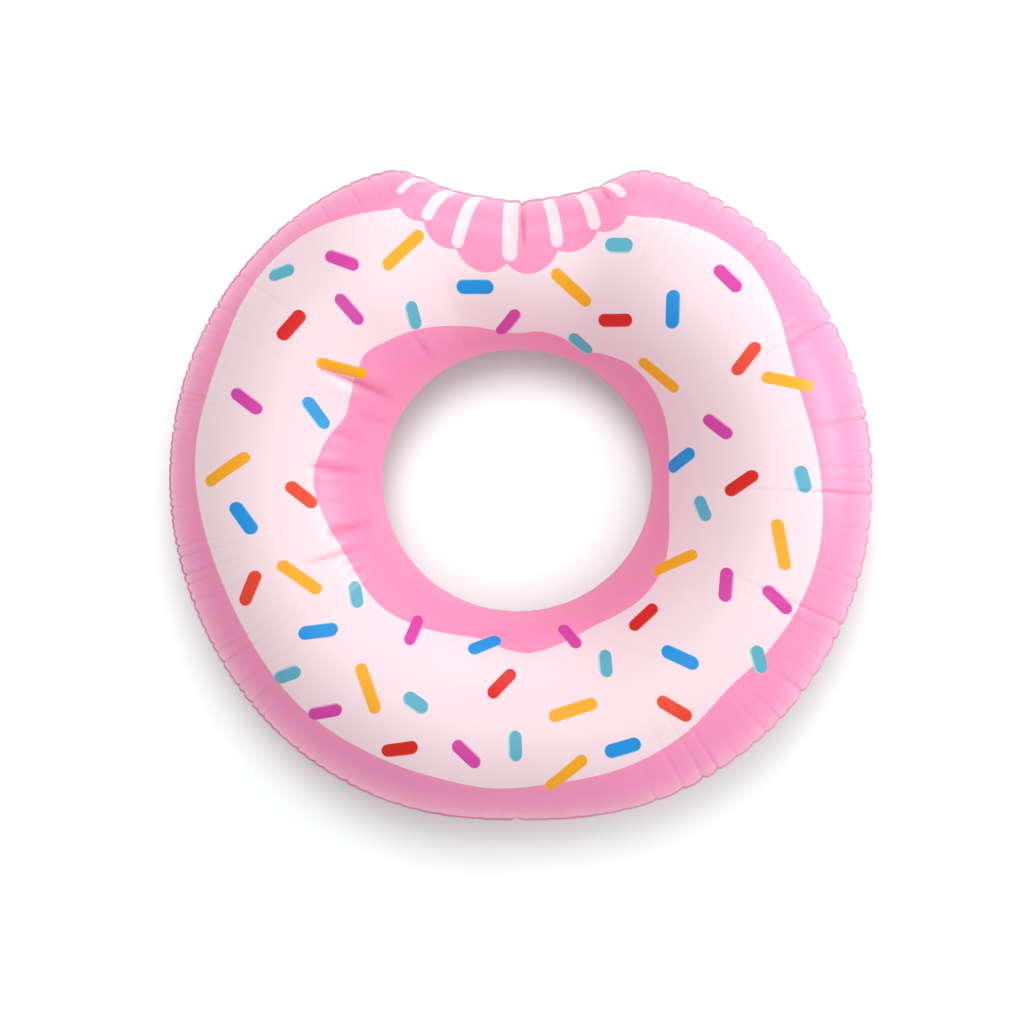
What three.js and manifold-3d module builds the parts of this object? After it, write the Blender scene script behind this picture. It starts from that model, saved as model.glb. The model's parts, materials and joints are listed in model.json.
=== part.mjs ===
// Inflatable swim ring in the shape of a ring doughnut with a bite taken out of it.
// Two sheets of PVC film are welded together along an outer and an inner seam, and blown up
// through a valve that pushes into the ring, low on the flank opposite the bite.
// Millimetres, +Z up. The ring lies on its lower sheet with the bite towards +Y, and the
// origin is on the floor under the middle of its outline.

import * as THREE from 'three';
import { mergeVertices } from 'three/addons/utils/BufferGeometryUtils.js';
import Module from 'manifold-3d';

// --- Driving dimensions of the ring ---

const CROWN = 127.5; // height of the film above the seam plane, so the ring is twice as thick
const BITE_CROWN = 95; // the same at the middle of the bite, where the tube is narrower
const HOLE_RADIUS = 197; // clear hole, inside the inner weld margin
const FILM = 0.3; // thickness of the PVC film
const MARGIN = 4; // width of the weld margin that stands out past the blown-up film
const MARGIN_OVERLAP = 2; // how far the weld bead reaches under the film's edge
const GAP = 0.3; // clearance between pieces that touch

// Outer edge of the weld margin: [degrees from the middle of the bite, radius from the hole's
// centre]. The two sides are mirror images.
const OUTLINE = [
  [0, 426], [8, 438], [14, 459], [18, 486], [21, 506], [25, 515.5], [31, 522], [45, 530],
  [65, 535], [90, 536.5], [120, 538.5], [135, 537.5], [155, 531], [170, 520.5], [180, 516.5],
];

// The bite lowers the crown between these angles from its middle, in degrees.
const BITE_FULL = 12;
const BITE_GONE = 42;

// Sectors round the ring: finer steps across the bite and its horns. An odd number on the
// long way round leaves one flat facet centred opposite the bite, for the valve.
const FINE_HALF_ANGLE = 30;
const FINE_SECTORS = 20;
const COARSE_SECTORS = 51;

// Slope of the film at the rows of points between the outer seam and the crest, and how far
// along the inner flank the others lie, from the crest to the inner seam.
const OUTER_SLOPES = [57, 33, 17];
const INNER_SHARES = [0.38, 0.69];
const CREST_SLOPE = 4.5; // the film is flat between this slope outside and inside the crest

// --- Driving dimensions of the valve, along its own axis from the film outwards ---

const SIDES = 20; // facets round each turned piece
const VALVE_HOLE = 14.5; // radius of the hole in the lower sheet
const FLANGE = { inner: 13.5, outer: 19, height: 0.9, bevel: 0.4 };
const STEM = { bore: 5, wall: 6.6, lip: 7.4, collar: 7.8, low: 2, top: 22 };
const STRAP_ROOT = { from: 6, reach: 11.7, width: 4, low: 15, arm: 1.8, post: 1.4, top: 19.4 };
const WEB = { rise: 8, wall: 0.6 };
const CHECK_RING = { inner: 3.6, outer: 6.4, height: 1.3 };
const FLAP = { radius: 4.5, height: 0.6, tab: 5.2, tabWidth: 3 };
const PLUG = { top: 4.6, middle: 4.1, tip: 3.3, depth: 6, head: 8, headHeight: 2.4 };
const STRAP = { width: 4, height: 1.1, end: 11.7, turn: 1.4, drop: 0.7 };

const wasm = await Module();
wasm.setup();

// --- Shape of the blown-up film ---

// A smooth curve through [place, value] pairs, level at both ends.
function smoothThrough(pairs, place) {
  const last = pairs.length - 1;
  const slope = (i) =>
    i === 0 || i === last
      ? 0
      : (pairs[i + 1][1] - pairs[i - 1][1]) / (pairs[i + 1][0] - pairs[i - 1][0]);
  const i = Math.min(last - 1, pairs.findLastIndex(([from]) => from <= place));
  const span = pairs[i + 1][0] - pairs[i][0];
  const t = (place - pairs[i][0]) / span;
  return (
    (1 + 2 * t) * (1 - t) ** 2 * pairs[i][1] +
    t * (1 - t) ** 2 * span * slope(i) +
    t * t * (3 - 2 * t) * pairs[i + 1][1] -
    t * t * (1 - t) * span * slope(i + 1)
  );
}

// Degrees between a direction and the middle of the bite, from 0 to 180.
function fromBite(angle) {
  const turned = Math.abs(THREE.MathUtils.radToDeg(angle) - 90) % 360;
  return turned > 180 ? 360 - turned : turned;
}

function outlineRadius(angle) {
  return smoothThrough(OUTLINE, fromBite(angle));
}

function crownHeight(angle) {
  const open = THREE.MathUtils.smoothstep(fromBite(angle), BITE_FULL, BITE_GONE);
  return BITE_CROWN + (CROWN - BITE_CROWN) * open;
}

// Cross-section of a ring blown up from two flat sheets, whose film carries no pull round the
// ring. Its slope s at radius r follows sin(s) = (r^2 - crest^2) / (outer^2 - crest^2): it
// is upright at the outer seam and level at the crest. The crest's radius is the one that
// brings the film back down to the seam plane at the inner seam.
class BlownSection {
  constructor(inner, outer) {
    this.outer = outer;
    let low = inner;
    let high = outer;
    for (let i = 0; i < 40; i++) {
      this.crest = (low + high) / 2;
      if (this.height(this.slopeAt(inner)) > 0) low = this.crest;
      else high = this.crest;
    }
    this.innerSlope = this.slopeAt(inner);
    this.peak = this.height(0);
  }

  slopeAt(radius) {
    const spread = this.outer ** 2 - this.crest ** 2;
    return Math.asin(Math.max(-1, (radius ** 2 - this.crest ** 2) / spread));
  }

  radius(slope) {
    const spread = this.outer ** 2 - this.crest ** 2;
    return Math.sqrt(this.crest ** 2 + spread * Math.sin(slope));
  }

  height(slope) {
    const steps = 64;
    const spread = this.outer ** 2 - this.crest ** 2;
    const step = (Math.PI / 2 - slope) / steps;
    let sum = 0;
    for (let i = 0; i < steps; i++) {
      const s = slope + (i + 0.5) * step;
      sum += (spread * Math.sin(s)) / (2 * this.radius(s));
    }
    return sum * step;
  }
}

const FILM_INNER = HOLE_RADIUS + MARGIN;
const FILM_OUTER = outlineRadius(0) - MARGIN;
const section = new BlownSection(FILM_INNER, FILM_OUTER);

// One row of the section: how far across the tube it lies, its share of the crown's height,
// and the film's outward normal there.
function sectionRow(slope, share) {
  return {
    across: (section.radius(slope) - FILM_INNER) / (FILM_OUTER - FILM_INNER),
    share,
    normal: new THREE.Vector2(Math.sin(slope), Math.cos(slope)),
  };
}

const crestSlope = THREE.MathUtils.degToRad(CREST_SLOPE);
const ROWS = [
  { across: 1, share: 0, normal: new THREE.Vector2(1, 0) },
  ...OUTER_SLOPES.map((degrees) => {
    const slope = THREE.MathUtils.degToRad(degrees);
    return sectionRow(slope, section.height(slope) / section.peak);
  }),
  sectionRow(crestSlope, 1),
  sectionRow(-crestSlope, 1),
  ...INNER_SHARES.map((part) => {
    const slope = section.innerSlope * part;
    return sectionRow(slope, section.height(slope) / section.peak);
  }),
  { across: 0, share: 0, normal: new THREE.Vector2(-1, 0) },
];

// A point [radius, height over the seam plane] on the film's face, sunk by depth into it.
function filmPoint(angle, row, depth) {
  const outer = outlineRadius(angle) - MARGIN;
  const radius = FILM_INNER + row.across * (outer - FILM_INNER) - depth * row.normal.x;
  const edge = FILM + GAP; // the film's edges stop just off the weld bead
  const height = Math.max(edge, row.share * crownHeight(angle) - depth * row.normal.y);
  return [radius, height];
}

// --- Solids ---

function sectorAngles() {
  const fine = THREE.MathUtils.degToRad(FINE_HALF_ANGLE);
  const angles = [];
  for (let i = 0; i < FINE_SECTORS; i++) {
    angles.push(Math.PI / 2 - fine + (2 * fine * i) / FINE_SECTORS);
  }
  for (let i = 0; i < COARSE_SECTORS; i++) {
    angles.push(Math.PI / 2 + fine + ((2 * Math.PI - 2 * fine) * i) / COARSE_SECTORS);
  }
  return angles;
}

const ANGLES = sectorAngles();

// A closed body swept round the hole. sectionAt(angle) gives a closed loop of
// [radius, height] points, anticlockwise, with as many points at each angle. The loop goes out
// along one face and back along the other, and the two halves split their quads along the same
// diagonal, so that a thin wall's faces stay parallel where it twists.
function sweptRing(sectionAt) {
  const loops = ANGLES.map(sectionAt);
  const sides = loops[0].length;
  const points = [];
  const faces = [];
  loops.forEach((loop, i) => {
    const next = (i + 1) % loops.length;
    loop.forEach(([radius, height], j) => {
      points.push(radius * Math.cos(ANGLES[i]), radius * Math.sin(ANGLES[i]), height);
      const turn = (j + 1) % sides;
      const [a, b] = [i * sides + j, next * sides + j];
      const [c, d] = [next * sides + turn, i * sides + turn];
      if (j < sides / 2) faces.push(a, b, c, a, c, d);
      else faces.push(a, b, d, b, c, d);
    });
  });
  const geometry = new THREE.BufferGeometry();
  geometry.setAttribute('position', new THREE.Float32BufferAttribute(points, 3));
  geometry.setIndex(faces);
  return geometry;
}

// One half of the film, bulging up (side 1) or down (side -1) from the seam plane.
function sheetGeometry(side) {
  return sweptRing((angle) => {
    const face = ROWS.map((row) => filmPoint(angle, row, 0));
    const back = ROWS.map((row) => filmPoint(angle, row, FILM)).reverse();
    const loop = [...face, ...back].map(([radius, height]) => [radius, side * height]);
    return side > 0 ? loop : loop.reverse();
  });
}

// The flat bead where the two sheets are fused, between two radii.
function weldGeometry(innerAt, outerAt) {
  return sweptRing((angle) => [
    [innerAt(angle), -FILM],
    [outerAt(angle), -FILM],
    [outerAt(angle), FILM],
    [innerAt(angle), FILM],
  ]);
}

function lathe(profile) {
  const points = profile.map(([radius, height]) => new THREE.Vector2(radius, height));
  const geometry = new THREE.LatheGeometry(points, SIDES);
  return geometry.rotateX(Math.PI / 2);
}

// A turned piece with a hole through it: its profile closes on itself.
function turnedRing(profile) {
  return lathe([...profile, profile[0]]);
}

function toManifold(geometry) {
  const bare = geometry.clone();
  bare.deleteAttribute('normal');
  bare.deleteAttribute('uv');
  const merged = mergeVertices(bare, 1e-4);
  const vertProperties = new Float32Array(merged.attributes.position.array);
  const triVerts = new Uint32Array(merged.index.array);
  return new wasm.Manifold(new wasm.Mesh({ numProp: 3, vertProperties, triVerts }));
}

function toGeometry(solid) {
  const mesh = solid.getMesh();
  const geometry = new THREE.BufferGeometry();
  geometry.setAttribute('position', new THREE.BufferAttribute(mesh.vertProperties, 3));
  geometry.setIndex(new THREE.BufferAttribute(mesh.triVerts, 1));
  return geometry;
}

// --- Valve pieces, with the valve's axis along Z and the film's face at 0 ---

function flangeGeometry() {
  const { inner, outer, height, bevel } = FLANGE;
  return turnedRing([
    [inner, GAP],
    [outer, GAP],
    [outer, GAP + height - bevel],
    [outer - bevel, GAP + height],
    [inner, GAP + height],
  ]);
}

// The thin cone that lets the stem pop in and out, from the flange up to the stem's collar.
function webGeometry() {
  const foot = FLANGE.inner - GAP;
  const neck = STEM.collar + GAP;
  return turnedRing([
    [foot, 2 * GAP],
    [foot, 2 * GAP + WEB.wall],
    [neck, WEB.rise + WEB.wall],
    [neck, WEB.rise],
  ]);
}

function stemGeometry() {
  const { bore, wall, lip, collar, low, top } = STEM;
  const tube = toManifold(turnedRing([
    [bore, low],
    [wall, low],
    [wall, WEB.rise - 1],
    [collar, WEB.rise - 0.4],
    [collar, WEB.rise + 1],
    [wall, WEB.rise + 1.8],
    [wall, top - 2.2],
    [lip, top - 1.4],
    [lip, top],
    [bore, top],
  ]));
  const { from, reach, width, low: foot, arm, post, top: head } = STRAP_ROOT;
  const armBox = new THREE.BoxGeometry(reach - from, width, arm);
  armBox.translate((reach + from) / 2, 0, foot + arm / 2);
  const postBox = new THREE.BoxGeometry(post, width, head - foot);
  postBox.translate(reach - post / 2, 0, (head + foot) / 2);
  return toGeometry(tube.add(toManifold(armBox)).add(toManifold(postBox)));
}

function checkRingGeometry() {
  const { inner, outer, height } = CHECK_RING;
  const top = STEM.low - GAP;
  return turnedRing([
    [inner, top - height],
    [outer, top - height],
    [outer, top],
    [inner, top],
  ]);
}

// A disc with a tab on its -X side, where it bends open.
function flapGeometry() {
  const top = STEM.low - 2 * GAP - CHECK_RING.height;
  const disc = toManifold(lathe([
    [0, top - FLAP.height],
    [FLAP.radius, top - FLAP.height],
    [FLAP.radius, top],
    [0, top],
  ]));
  const tab = new THREE.BoxGeometry(FLAP.tab, FLAP.tabWidth, FLAP.height);
  tab.translate(-FLAP.tab / 2, 0, top - FLAP.height / 2);
  return toGeometry(disc.add(toManifold(tab)));
}

function plugGeometry() {
  const { top, middle, tip, depth, head, headHeight } = PLUG;
  const rim = STEM.top;
  return lathe([
    [0, rim - depth],
    [tip, rim - depth],
    [middle, rim - depth * 0.55],
    [top, rim],
    [top, rim + GAP],
    [head, rim + GAP],
    [head, rim + GAP + headHeight * 0.6],
    [head - 1.2, rim + GAP + headHeight],
    [0, rim + GAP + headHeight],
  ]);
}

// The tongue that ties the stopper to the stem, turned down at its free end.
function strapGeometry() {
  const { width, height, end, turn, drop } = STRAP;
  const start = PLUG.head + GAP;
  const base = STEM.top + GAP;
  const outline = new THREE.Shape();
  outline.moveTo(start, base);
  outline.lineTo(end - turn, base);
  outline.lineTo(end - turn, base - drop);
  outline.lineTo(end, base - drop);
  outline.lineTo(end, base + height - 0.5);
  outline.lineTo(end - 0.5, base + height);
  outline.lineTo(start, base + height);
  outline.closePath();
  const geometry = new THREE.ExtrudeGeometry(outline, { depth: width, bevelEnabled: false });
  return geometry.rotateX(Math.PI / 2).translate(0, width / 2, 0);
}

// --- Assembly ---

function material(color, roughness) {
  return new THREE.MeshStandardMaterial({ color, roughness, metalness: 0 });
}

function piece(name, geometry, color, roughness = 0.3) {
  const mesh = new THREE.Mesh(geometry, material(color, roughness));
  mesh.name = name;
  return mesh;
}

// The facet of the lower sheet that the valve stands on: the one opposite the bite, between
// the first two rows below the outer seam.
function valveSeat() {
  const middle = FINE_SECTORS + (COARSE_SECTORS - 1) / 2;
  const corners = [];
  for (const angle of [ANGLES[middle], ANGLES[middle + 1]]) {
    for (const row of [ROWS[1], ROWS[2]]) {
      const [radius, height] = filmPoint(angle, row, 0);
      const corner = new THREE.Vector3(Math.cos(angle), Math.sin(angle), 0);
      corners.push(corner.multiplyScalar(radius).setZ(-height));
    }
  }
  const centre = new THREE.Vector3();
  corners.forEach((corner) => centre.addScaledVector(corner, 1 / corners.length));
  const [high, low] = [corners[0], corners[1]];
  const rowStep = new THREE.Vector3().subVectors(high, low).setX(0).normalize();
  const along = new THREE.Vector3(1, 0, 0);
  const normal = new THREE.Vector3().crossVectors(along, rowStep);
  const turn = new THREE.Matrix4().makeBasis(along, rowStep, normal);
  return { centre, turn };
}

const ring = new THREE.Group();
const seat = valveSeat();

const valve = new THREE.Group();
valve.position.copy(seat.centre);
valve.quaternion.setFromRotationMatrix(seat.turn);
valve.add(
  piece('valve_flange', flangeGeometry(), '#f3f0ee'),
  piece('valve_web', webGeometry(), '#f0ecea'),
  piece('valve_stem', stemGeometry(), '#f3f0ee'),
  piece('check_ring', checkRingGeometry(), '#e9e6e4'),
  piece('check_flap', flapGeometry(), '#dfe3e6', 0.2),
  piece('stopper_plug', plugGeometry(), '#f3f0ee'),
  piece('stopper_strap', strapGeometry(), '#f3f0ee'),
);

// The lower sheet's valve hole is cut by a round cutter along the valve's axis.
function lowerSheetGeometry() {
  const cutter = new THREE.CylinderGeometry(VALVE_HOLE, VALVE_HOLE, 20, SIDES);
  cutter.rotateX(Math.PI / 2);
  cutter.applyMatrix4(seat.turn);
  cutter.translate(seat.centre.x, seat.centre.y, seat.centre.z);
  return toGeometry(toManifold(sheetGeometry(-1)).subtract(toManifold(cutter)));
}

const outerFilm = (angle) => outlineRadius(angle) - MARGIN;
ring.add(
  piece('upper_sheet', sheetGeometry(1), '#fbe6ec'),
  piece('lower_sheet', lowerSheetGeometry(), '#fca3cb'),
  piece('outer_seam', weldGeometry((a) => outerFilm(a) - MARGIN_OVERLAP, outlineRadius), '#f08fbd'),
  piece('inner_seam', weldGeometry(() => HOLE_RADIUS, () => FILM_INNER + MARGIN_OVERLAP), '#f08fbd'),
  valve,
);

// Stand the ring on the floor with the middle of its outline over the origin.
const box = new THREE.Box3().setFromObject(ring, true);
ring.position.set(0, -(box.min.y + box.max.y) / 2, CROWN);

export default ring;
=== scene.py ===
"""Doughnut swim ring with a bite out of it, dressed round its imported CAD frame.

Two sheets of PVC film are welded together along an outer and an inner seam and blown up. The
outer seam gathers into small lobes, the upper sheet carries a printed icing with sprinkles, and
a push-in valve stands low on the flank opposite the bite.

The ring's shapes are worked out in millimetres round the middle of its hole, with Z = 0 on the
seam plane, and placed in the frame's metres at the end.
"""

import json
import logging
import math
from dataclasses import dataclass, field
from enum import Enum

import bmesh
import bpy
import numpy as np
from mathutils import Matrix, Vector

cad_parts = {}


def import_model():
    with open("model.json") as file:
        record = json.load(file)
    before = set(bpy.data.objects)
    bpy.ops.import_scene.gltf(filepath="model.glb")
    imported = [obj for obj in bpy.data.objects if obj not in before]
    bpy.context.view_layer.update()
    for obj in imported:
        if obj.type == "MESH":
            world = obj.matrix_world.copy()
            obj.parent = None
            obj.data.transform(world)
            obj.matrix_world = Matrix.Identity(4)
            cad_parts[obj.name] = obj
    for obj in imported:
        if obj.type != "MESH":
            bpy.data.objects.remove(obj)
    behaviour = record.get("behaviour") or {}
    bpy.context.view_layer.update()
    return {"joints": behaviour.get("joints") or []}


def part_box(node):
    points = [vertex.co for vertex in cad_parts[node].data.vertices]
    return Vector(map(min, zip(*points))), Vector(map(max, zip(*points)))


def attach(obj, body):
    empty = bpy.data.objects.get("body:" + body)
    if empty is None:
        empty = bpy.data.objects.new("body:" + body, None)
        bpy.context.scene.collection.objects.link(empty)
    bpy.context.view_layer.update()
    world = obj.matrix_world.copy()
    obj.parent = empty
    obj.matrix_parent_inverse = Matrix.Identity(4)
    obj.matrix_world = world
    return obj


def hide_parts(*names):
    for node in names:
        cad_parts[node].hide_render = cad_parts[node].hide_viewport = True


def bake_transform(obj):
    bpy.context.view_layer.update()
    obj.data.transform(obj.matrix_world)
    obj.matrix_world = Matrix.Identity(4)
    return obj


LOG = logging.getLogger("swim_ring")
MM = 0.001
SEED = 11


# --- Small helpers ---


def srgb(code: str) -> tuple[float, float, float, float]:
    """Turns an sRGB hex colour into linear RGBA.

    Args:
        code: The colour, such as "#FCA3CB".

    Returns:
        Red, green, blue and alpha from 0 to 1.
    """
    parts = [int(code[i : i + 2], 16) / 255 for i in (1, 3, 5)]
    linear = [c / 12.92 if c <= 0.04045 else ((c + 0.055) / 1.055) ** 2.4 for c in parts]
    return (*linear, 1.0)


def smooth_step(value: np.ndarray, low: float, high: float) -> np.ndarray:
    """Rises smoothly from 0 at low to 1 at high."""
    t = np.clip((value - low) / (high - low), 0, 1)
    return t * t * (3 - 2 * t)


def through(pairs: list[tuple[float, float]], place: np.ndarray) -> np.ndarray:
    """Follows a smooth curve through pairs that is level at both ends.

    Args:
        pairs: (place, value) points in rising order of place.
        place: Where to read the curve.

    Returns:
        The curve's value at each place.
    """
    at, value = np.array(pairs, float).T
    slope = np.zeros(len(at))
    slope[1:-1] = (value[2:] - value[:-2]) / (at[2:] - at[:-2])
    i = np.clip(np.searchsorted(at, place, side="right") - 1, 0, len(at) - 2)
    span = at[i + 1] - at[i]
    t = (place - at[i]) / span
    start = (1 + 2 * t) * (1 - t) ** 2 * value[i] + t * (1 - t) ** 2 * span * slope[i]
    end = t * t * (3 - 2 * t) * value[i + 1] - t * t * (1 - t) * span * slope[i + 1]
    return start + end


def round_curve(pairs: list[tuple[float, float]], degrees: np.ndarray) -> np.ndarray:
    """Follows a smooth closed curve right round the ring.

    Args:
        pairs: (degrees, value) points in rising order that cover a full turn.
        degrees: Where to read the curve.

    Returns:
        The curve's value at each direction.
    """
    before = [(a - 360, v) for a, v in pairs]
    after = [(a + 360, v) for a, v in pairs]
    return through(before + pairs + after, np.mod(degrees, 360))


def polar(clock: float, distance: float) -> np.ndarray:
    """Flat point at a direction in degrees and a distance from the hole's centre."""
    return distance * np.array([math.cos(math.radians(clock)), math.sin(math.radians(clock))])


def capsule_distance(
    points: np.ndarray, centre: np.ndarray, direction: np.ndarray, half: float, radius: float
) -> np.ndarray:
    """Signed distance from flat points to a stroke with round ends.

    Args:
        points: Flat points, the last axis being x and y.
        centre: Middle of the stroke.
        direction: Unit vector along the stroke.
        half: Half of the length between the centres of its round ends.
        radius: Half of its width.

    Returns:
        The distance in the points' unit, negative inside.
    """
    offset = points - centre
    along = offset @ direction
    across = offset @ np.array([-direction[1], direction[0]])
    return np.hypot(np.maximum(np.abs(along) - half, 0), across) - radius


def add_node(
    tree: bpy.types.NodeTree, kind: str, inputs: dict | None = None, **settings: object
) -> bpy.types.Node:
    """Adds a node with its settings and links.

    Args:
        tree: The node tree.
        kind: The node's type name.
        inputs: Socket name or index to a value, or to the output socket that feeds it.
        **settings: Properties of the node itself.

    Returns:
        The new node.
    """
    node = tree.nodes.new(kind)
    for name, value in settings.items():
        setattr(node, name, value)
    for socket, value in (inputs or {}).items():
        if isinstance(value, bpy.types.NodeSocket):
            tree.links.new(value, node.inputs[socket])
        else:
            node.inputs[socket].default_value = value
    return node


def new_object(
    name: str, mesh: bpy.types.Mesh, material: bpy.types.Material
) -> bpy.types.Object:
    """Puts a mesh with one material into the scene as a smooth object.

    Args:
        name: The object's name.
        mesh: Its mesh.
        material: The material of all its faces.

    Returns:
        The new object.
    """
    mesh.shade_smooth()
    mesh.materials.append(material)
    piece = bpy.data.objects.new(name, mesh)
    bpy.context.scene.collection.objects.link(piece)
    return piece


def quad_mesh(name: str, points: np.ndarray, quads: np.ndarray) -> bpy.types.Mesh:
    """Makes a mesh from arrays of points and quads.

    Args:
        name: The mesh's name.
        points: Its points in metres.
        quads: Four point numbers for each face.

    Returns:
        The new mesh.
    """
    mesh = bpy.data.meshes.new(name)
    mesh.vertices.add(len(points))
    mesh.vertices.foreach_set("co", points.astype(np.float32).ravel())
    mesh.loops.add(quads.size)
    mesh.loops.foreach_set("vertex_index", quads.astype(np.int32).ravel())
    mesh.polygons.add(len(quads))
    mesh.polygons.foreach_set("loop_start", np.arange(0, quads.size, 4, dtype=np.int32))
    mesh.update(calc_edges=True)
    mesh.validate()
    return mesh


def write_points(mesh: bpy.types.Mesh, name: str, values: np.ndarray) -> None:
    """Stores a value or a vector for each point of a mesh.

    Args:
        mesh: The mesh.
        name: Name of the attribute.
        values: One number or one row of three for each point.
    """
    vector = values.ndim == 2
    attribute = mesh.attributes.new(name, "FLOAT_VECTOR" if vector else "FLOAT", "POINT")
    key = "vector" if vector else "value"
    attribute.data.foreach_set(key, values.astype(np.float32).ravel())


def ring_quads(rows: int, columns: int, closed_rows: bool = False) -> np.ndarray:
    """Quads of a grid of rows by columns whose columns close on themselves.

    Args:
        rows: Number of rows of points.
        columns: Number of columns of points.
        closed_rows: Whether the last row joins the first one as well.

    Returns:
        An array of four point numbers for each quad.
    """
    row = np.arange(rows if closed_rows else rows - 1)
    j, i = np.meshgrid(row, np.arange(columns), indexing="ij")
    up, side = (j + 1) % rows, (i + 1) % columns
    quads = np.stack([j, up, up, j]) * columns + np.stack([i, i, side, side])
    return quads.reshape(4, -1).T


def start_material(name: str) -> tuple[bpy.types.Material, bpy.types.NodeTree, bpy.types.Node]:
    """Starts a material with nodes.

    Args:
        name: Its name.

    Returns:
        The material, its node tree and its shader node.
    """
    material = bpy.data.materials.new(name)
    material.use_nodes = True
    tree = material.node_tree
    return material, tree, tree.nodes["Principled BSDF"]


def mix_colours(
    tree: bpy.types.NodeTree, share: bpy.types.NodeSocket, first: object, second: object
) -> bpy.types.NodeSocket:
    """Mixes two colours.

    Args:
        tree: The node tree.
        share: Socket with the second colour's share, from 0 to 1.
        first: The first colour, or the socket that gives it.
        second: The second colour, or the socket that gives it.

    Returns:
        The socket with the mixed colour.
    """
    mixed = add_node(tree, "ShaderNodeMix", {0: share, 6: first, 7: second}, data_type="RGBA")
    return mixed.outputs[2]


def work_out(
    tree: bpy.types.NodeTree, operation: str, *values: object
) -> bpy.types.NodeSocket:
    """Works out one number from others.

    Args:
        tree: The node tree.
        operation: The Math node's operation.
        *values: Its inputs in order, as numbers or sockets.

    Returns:
        The socket with the result.
    """
    made = add_node(tree, "ShaderNodeMath", dict(enumerate(values)), operation=operation)
    return made.outputs[0]


# --- Finishes ---


@dataclass(frozen=True)
class Ink:
    """One printing ink of the sprinkles: its colours, and the stroke it prints."""

    colour: str
    rim: str
    length: float
    width: float
    rim_width: float = 0.0
    rim_side: tuple[float, float] = (1.0, 0.0)


class Sprinkle(Enum):
    """The kinds of sprinkle, each printed with its own ink at its own size in mm."""

    YELLOW = Ink("#FDAF00", "#FDD055", 84, 19)
    RED = Ink("#E00E02", "#F0685A", 60, 21.5, 1.6, (1.0, -0.2))
    CORAL = Ink("#F0401E", "#F6907C", 60, 21.5, 1.6, (1.0, -0.2))
    BLUE = Ink("#0094E2", "#62BDEB", 61, 22.5, 1.5, (1.0, 0.3))
    SKY = Ink("#2FA2E6", "#A8DCF4", 61, 22.5, 2.4, (-1.0, -0.4))
    MAGENTA = Ink("#DA3FA8", "#EE9AD0", 57, 21.5, 2.4, (0.8, 0.6))
    TEAL = Ink("#5CB4CA", "#A9D8E2", 46, 22.5, 2.6, (-1.0, -0.3))
    STRIPE = Ink("#FCE1E8", "#FCE1E8", 90, 19.6)


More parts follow.
